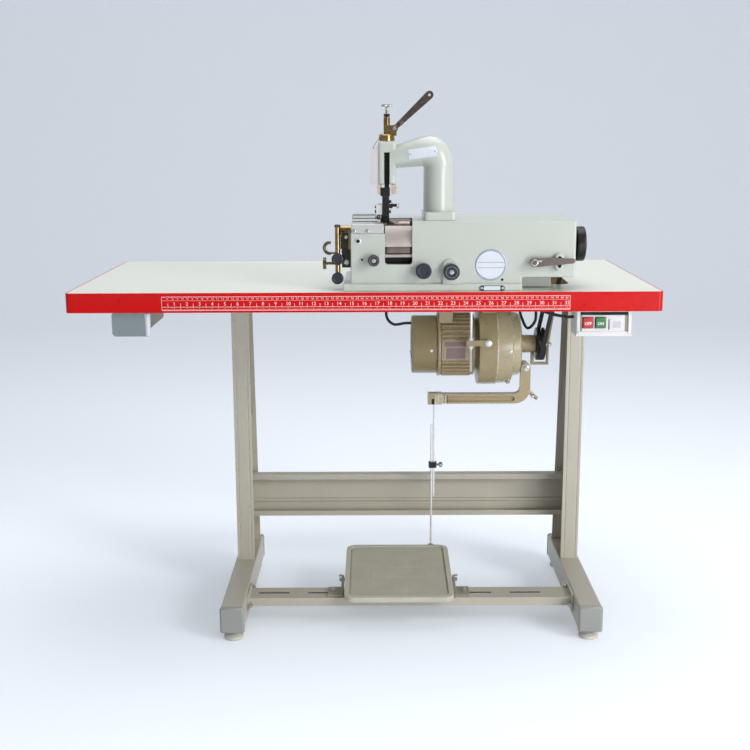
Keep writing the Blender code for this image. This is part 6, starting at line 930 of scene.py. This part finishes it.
outlined("stone_flange", bright_steel, "stone_body", crease=30)

# The knobs are moulded in black plastic with a fine grip round the rim and a dished face, on
# steel stems. Two of them show the slotted head of the screw that holds the stem.
knob_plastic = finish("knob_plastic", "black", (30, 33, 45), 0.4, mottle=0.2, cloud=90, spread=0.1,
    grain=0.3, fine=900, edge_wear_and_highlight=(92, 96, 112), edge=0.7, patchy=0.54, coat=0.15)


def knobbed(node, x, face_y, z, radius, screw=0, width=15.2, standoff=7.8, stem=5):
    """A knob that faces the front: gripped rim, rounded edges, dished face, stem and screw."""
    top = standoff + width - 0.3
    dish = radius * 0.55
    turned((x, face_y, z), FRONT, [(standoff, radius - 1.6), (standoff + 0.5, radius - 0.7),
        (standoff + 1.5, radius - 0.1, 0.5), (top - 2.6, radius - 0.1, 0.5),
        (top - 2.1, radius - 0.1), (top - 1, radius - 0.25), (top - 0.3, radius - 0.9),
        (top, radius - 1.8), (top, dish + 1.4), (top - 0.4, dish + 0.7), (top - 1.2, dish - 0.2)],
        96)
    dressed(node, knob_plastic, 34)
    turned((x, face_y, z), FRONT, [(-6, stem), (standoff + 0.5, stem)], 32)
    if screw:
        turned((x, face_y, z), FRONT, [(top - 1.4, screw + 1.6), (top - 1, screw + 1.6),
            (top - 0.9, screw + 1.3)], 32)
        slotted((x, face_y - top + 1, z), FRONT, screw, 1)
        turned((x, face_y - top + 0.3, z), FRONT, [(0, dish + 1.8), (0.6, dish + 2),
            (0.6, dish + 2.5), (0, dish + 2.7), (0, dish + 1.8)], 64)
    outlined(node + "_stem", bright_steel, BODY_OF[node])


knobbed("stone_knob", 19.4, HEAD_FRONT, 823.1, 11.5, 2.7)
knobbed("knife_feed_knob", 119, HEAD_FRONT, 801.8, 16)
knobbed("roller_lift_knob", 174.8, HEAD_FRONT, 799.8, 16.5, 2.9)

# The lever on the hood is a flat bar of browned steel on a bolt with a hexagonal nut, and it
# lies against a small enamelled rest with a dark notch in its face.
refined("stone_lever", finish("lever_steel", "blackened", (98, 88, 82), 0.34, metal=0.6,
    mottle=0.12, grain=0.16, fine=800, edge_wear_and_highlight=(222, 216, 210), patchy=0.46), 0.7, 3)
turned((340, -295, 818), FRONT, [(0, 7.4), (0.9, 7.4), (1.1, 7)], 40)
hexagon((340, -296, 818), FRONT, 10.5, 2.6)
slab((336, -298.6, 819.4), (354, -295.1, 823.2))
outlined("stone_lever_nut", bright_steel, "stone_lever_body")
rings = []
for y, inset in ((-277.4, 0), (-286.4, 0), (-287.8, 0.5), (-288.5, 1.8), (-288.5, 5),
        (-287.6, 5.4)):
    ring = []
    for i in range(32):
        turn = 2 * pi * (i + 0.5) / 32
        x, z = (9 - inset) * cos(turn), (9 - inset) * sin(turn)
        ring.append(loose.verts.new(Vector((391 + x, y, 818 + z + copysign(8, z))) / 1000))
    rings.append(ring)
skinned(rings)
block = dressed("lever_rest", enamel, crease=50)
tinted(block, gap_shade_black, lambda middle, normal: normal.y < -0.9 and -288 < middle.y < -287.4)

# The bracket at the head's left end is blackened iron with a saddle for the brass yoke. The
# yoke carries a post with two knuckles, a wing screw and a wire hook.
brass = finish("brass", "brass", (142, 118, 72), 0.2, metal=1, mottle=0.25, spread=0.1, grain=0.12,
    fine=900, edge_wear_and_highlight=(236, 214, 160), edge=0.8, coat=0.5)
bracket_iron = finish("bracket_iron", "iron", (54, 48, 36), 0.3, metal=0.7, mottle=0.3,
    spread=0.12, grain=0.25, fine=500, edge_wear_and_highlight=(150, 128, 84), patchy=0.48, coat=0.2)
refined("side_bracket", bracket_iron, 0.9, 3)
# Two dark slabs fill the space between the post and the plate as painted shade.
slab((-48.2, -245.6, 842), (-42, -240, 880))
slab((-46, -246.2, 834), (-42, -240, 844))
outlined("bracket_shade_fill", bracket_iron)
slab((-31.4, -248, 842), (-27.3, -246.4, 879))
slab((-47.6, -246.4, 868), (-42.4, -245, 876))
outlined("bracket_gib", brass)
yoke = refined("roller_yoke", brass, 0.25, crease=40)
aged = finish("aged_brass", "brass", (104, 98, 78), 0.34, metal=1, mottle=0.3, cloud=90,
    grain=0.15, edge_wear_and_highlight=(190, 150, 96), patchy=0.46)
tinted(yoke, aged, lambda middle, normal: middle.x < -62.6)
bend = []
for i in range(15):
    angle = radians(76 + 15.2 * i)
    bend.append((-70 + 11 * cos(angle), -246, 844 + 11 * sin(angle)))
wired(bend, [2.9] + [3.3] * 13 + [2.6])
outlined("yoke_hook_sleeve", aged, crease=50)
hexagon((-36, -247.2, 815), FRONT, 8.5, 3.4, 5.4)
slotted((-36.3, -247.2, 866), FRONT, 3.6, 1.6)
outlined("side_bracket_bolts", bright_steel)
turned((-53.8, -246, 887.6), UP, [(-1.8, 6.6), (-0.2, 6.6), (0.4, 5.9), (2.8, 5.9), (3.4, 5.2),
    (3.4, 2.6), (1.4, 2.2)], 32)
outlined("yoke_post_cap", black_iron)
for node, z in (("roller_tilt_knob", 823), ("edge_guide_knob", 784.5)):
    knobbed(node, -53.8, -254, z, 12.2, 0, 12, 4, 3.5)

# The arm is one iron casting: a column on a rounded collar, a swept bend, and a slotted
# housing for the presser bar. It has the head's enamel, and a bare plate riveted on its side.
casting = refined("arm", enamel, 0.5, crease=50)
bare_prong = finish("bare_prong", "enamel", (190, 168, 132), 0.34, metal=0.5, mottle=0.12)
tinted(casting, bare_prong, lambda middle, normal: (middle.z < 969.4 and 28 < middle.x < 65
    and middle.z > 940))


def laid(target, middle, across, down, tilt, thick):
    """Adds a thin plate that follows the front of a piece, tilted in its own plane."""
    turn = radians(tilt)
    columns, rows = 24, 10
    layers = []
    for lift in (0.3, -thick):
        rows_made = []
        for i in range(rows + 1):
            row = []
            for j in range(columns + 1):
                u = across * (j / columns - 0.5)
                v = down * (0.5 - i / rows)
                x = middle[0] + u * cos(turn) - v * sin(turn)
                z = middle[1] + u * sin(turn) + v * cos(turn)
                spot = target.ray_cast(Vector((x / 1000, -0.4, z / 1000)), Vector(BACK))[1]
                row.append(loose.verts.new(spot + Vector((0, lift / 1000, 0))))
            rows_made.append(row)
        layers.append(rows_made)
    back, front = layers
    for i in range(rows):
        for j in range(columns):
            for layer in layers:
                loose.faces.new([layer[i][j], layer[i][j + 1], layer[i + 1][j + 1],
                    layer[i + 1][j]])
    rim = [(0, j) for j in range(columns)] + [(i, columns) for i in range(rows)]
    rim += [(rows, j) for j in range(columns, 0, -1)] + [(i, 0) for i in range(rows, 0, -1)]
    for (i, j), (k, m) in zip(rim, rim[1:] + rim[:1]):
        loose.faces.new([back[i][j], back[k][m], front[k][m], front[i][j]])


slab((55.4, -229.2, 950.4), (66.4, -222, 969.6))
slab((26.2, -229.2, 952), (32.8, -222, 969.6))
outlined("fork_gibs", finish("gib_steel", "enamel", (200, 186, 162), 0.4, metal=0.3, mottle=0.14,
    cloud=80, edge_wear_and_highlight=(240, 232, 216), edge=1.4, patchy=0.44))
bpy.context.view_layer.update()
laid(casting, (118, 1033), 56, 20, 7, 0.7)
outlined("arm_plate", plate_white, crease=60)

# The presser bar is a square black bar in the housing's slot. A screw with a round head and
# a split clamp block hold the bright foot to its end, over the feed roller.
black_bar = finish("black_bar", "blackened", (26, 23, 24), 0.3, metal=0.6, mottle=0.3, cloud=80,
    spread=0.12, grain=0.2, edge_wear_and_highlight=(96, 84, 78), edge=0.8)
refined("presser_bar", black_bar, 0.5)
turned((51.4, -215, 927.5), RIGHT, [(0, 5), (0.8, 5.6), (5.2, 5.6), (6, 5)], 32)
slab((33.6, -225.4, 946.4), (52.7, -205.6, 963.4))
slab((37, -224.8, 907), (50.8, -208.4, 947))
for x, z, across in ((53.6, 935.4, 3), (52.8, 914.8, 2.8), (56.6, 927.5, 4.4)):
    turned((x - 2.6, -221, z), RIGHT, [(0, across), (4.6, across)], 24)
turned((57, -215, 927.5), RIGHT, [(0, 2), (9.8, 2)], 24)
outlined("foot_screw_collar", black_iron, "presser")
turned((66.4, -215, 927.5), RIGHT, [(0, 5.4), (0.5, 6.2, 0.3), (4.2, 6.2, 0.3), (4.8, 5.4)], 40)
for z in (931.6, 920.6):
    turned((52.2, -221.6, z), RIGHT, [(0, 1.9), (4.4, 1.9)], 20)
outlined("foot_screw", bright_rod, "presser", crease=30)
polished = finish("polished_steel", "steel", (208, 208, 210), 0.13, metal=1, cloud=40, spread=0.05,
    relief=0.08, stretch=(1, 0.05, 0.05))
foot = refined("presser_foot", black_bar, 0.6, 3)
tinted(foot, polished, lambda middle, normal: middle.x < 42 and middle.z > 911.5)
for z in (915.4, 925):
    turned((25.2, -219.4, z), LEFT, [(0, 3.5), (2.4, 3.5), (3.2, 2.8)], 28, 1.6)
for x, z, across in ((24.2, 902.4, 2.6), (29.8, 904.6, 3.8)):
    turned((x, -212, z), FRONT, [(0, across), (9, across)], 24, 1.2)
outlined("clamp_screws", black_iron, "presser")
slab((24.6, -223.4, 909.6), (37.4, -212.4, 928.6))
slab((22.9, -222.6, 924.6), (26, -213, 929.6))
outlined("clamp_block", bright_rod, "presser")

# The cap on the housing is brass: a round collar, a slotted block for the lifting lever and a
# sleeve. The pressure screw in it is bright steel with a black lock nut and a pressed head.
refined("presser_cap", brass, 0.5, crease=34)
PRESSER_AXIS = (46.5, -215)
threaded((*PRESSER_AXIS, 1046.8), (*PRESSER_AXIS, 1122.4), 3, steps=24)
turned((*PRESSER_AXIS, 1122.3), UP, [(0, 4.4), (0.6, 4.8), (1.4, 10.2, 0.5), (2.2, 11, 0.5),
    (4.6, 11, 0.5), (5.6, 10.2), (6, 9.2), (6, 4.6), (5.5, 4.2)], 64)
dressed("pressure_screw", bright_steel, crease=30)
turned((*PRESSER_AXIS, 1103.9), UP, [(0, 5.2), (0.6, 6.1), (5.4, 6.1), (6, 5.2)], 6)
outlined("pressure_lock_nut", black_iron, "pressure_screw_body")

# The lifting lever is a forged flat bar of browned steel that widens to a round tip with a
# hole. A ferrule stands at its root, and it turns on a steel pin in the brass block.
# The lever's pale edge colour is partly wear and partly a painted highlight on its edges.
browned = finish("browned_steel", "blackened", (92, 80, 74), 0.3, metal=0.75, mottle=0.14,
    spread=0.1, grain=0.16, fine=800, edge_wear_and_highlight=(206, 200, 196), edge=1.1, patchy=0.42)
refined("lift_lever", browned, 1.1, 3)
tilt = radians(43)
way = Vector((cos(tilt), 0, sin(tilt)))
spot = Vector((62, -215, 1080.8)) + way * 13
turned(spot, way, [(0, 5.4), (0.8, 6), (3.4, 6), (4.2, 5.2), (5.4, 5.2), (6.2, 5.8), (8.4, 5.8),
    (9.2, 5)], 40)
outlined("lift_lever_ferrule", browned, "lift_lever_body", crease=30)
for side in (-1, 1):
    turned((62, -215 + side * 9.9, 1080.8), (0, side, 0), [(0, 3.6), (0.9, 3.6), (1.4, 3)], 28)
outlined("lift_lever_pin", bright_steel)

# A bare paper tag hangs beside the housing on a loop of string round the cap. The arm's plate
# is held by two slotted rivets.
paper = finish("tag_paper", "switch", (214, 208, 210), 0.7, mottle=0.04, cloud=30, grain=0.2,
    fine=600)
for x, z in ((93.6, 1030.1), (142.4, 1036.1)):
    spot = casting.ray_cast(Vector((x / 1000, -0.4, z / 1000)), Vector(BACK))[1] * 1000
    slotted((spot.x, spot.y - 0.6, spot.z), FRONT, 1.5, 0.8)
outlined("arm_plate_rivets", bright_steel)
rings = []
for i in range(13):
    share = i / 12
    bow = 2.4 * sin(pi * share)
    z = 1044 - 74 * share
    ring = ((12.8, -227.6), (27.6, -229.4), (27.6, -229), (12.8, -227.2))
    rings.append([loose.verts.new(Vector((x + bow * 0.2, y - bow, z)) / 1000) for x, y in ring])
skinned(rings)
outlined("paper_tag", paper, crease=60)
wired([(20.4, -229.6, 1041), (20, -228.6, 1045.6), (24, -227, 1052), (30.2, -223.6, 1060),
    (33.4, -219.6, 1064.6), (36, -214, 1071)], 0.5, 8)
outlined("tag_string", black_bar, crease=60)

# The stage is a pale floor that runs on behind the machine, under plain soft studio light: a
# large key lamp at the right above, a wide low fill beside it, and one overhead.
floor_paint = bpy.data.materials.new("stage_floor")
floor_paint.use_nodes = True
nodes = floor_paint.node_tree.nodes
join = floor_paint.node_tree.links.new
floor_shader = nodes["Principled BSDF"]
put(floor_shader, "Base Color", linear(226, 232, 240))
put(floor_shader, "Roughness", 0.85)
put(floor_shader, "Specular IOR Level", 0.2)
put(floor_shader, "Emission Color", linear(228, 233, 240))
seen = nodes.new("ShaderNodeMath")
seen.operation = "MULTIPLY"
put(seen, 1, 0.34)
either = nodes.new("ShaderNodeMath")
either.operation = "MAXIMUM"
ray = nodes.new("ShaderNodeLightPath")
join(ray.outputs["Is Camera Ray"], either.inputs[0])
join(ray.outputs["Is Glossy Ray"], either.inputs[1])
join(either.outputs["Value"], seen.inputs[0])
join(seen.outputs["Value"], floor_shader.inputs["Emission Strength"])
shape = bmesh.new()
profile = [(-40, 0), (4, 0)]
for i in range(1, 13):
    angle = radians(90 * i / 12)
    profile.append((4 + 3 * sin(angle), 3 - 3 * cos(angle)))
profile.append((7, 16))
edges = [[shape.verts.new((x, y, z)) for y, z in profile] for x in (-40, 40)]
for i in range(len(profile) - 1):
    shape.faces.new([edges[0][i], edges[0][i + 1], edges[1][i + 1], edges[1][i]])
bmesh.ops.recalc_face_normals(shape, faces=shape.faces[:])
mesh = bpy.data.meshes.new("stage_floor")
shape.to_mesh(mesh)
shape.free()
mesh.materials.append(floor_paint)
mesh.shade_smooth()
floor = added("stage_floor", mesh)
for name, place, aim, size, power in (("key", (2.9, -2.4, 2.1), (0.05, -0.1, 0.7), 1.2, 66),
        ("fill", (2, -3.3, 0.4), (0.1, 0, 0.5), 1.5, 56), ("top", (0.2, 0.3, 3.1), (0, 0, 0.6),
        2.2, 44)):
    light = bpy.data.lights.new(name, "AREA")
    light.size = size
    light.energy = power
    lamp = added(name, light)
    lamp.location = place
    lamp.rotation_euler = (Vector(aim) - Vector(place)).to_track_quat("-Z", "Y").to_euler()
sky = bpy.data.worlds.new("studio")
sky.use_nodes = True
bpy.context.scene.world = sky
nodes = sky.node_tree.nodes
join = sky.node_tree.links.new
shine = nodes["Background"]
put(shine, "Color", linear(236, 238, 241))
split = nodes.new("ShaderNodeMapRange")
put(split, "To Min", 0.46)
put(split, "To Max", 0.86)
join(nodes.new("ShaderNodeLightPath").outputs["Is Camera Ray"], split.inputs["Value"])
join(split.outputs["Result"], shine.inputs["Strength"])
bpy.context.scene.view_settings.view_transform = "Standard"
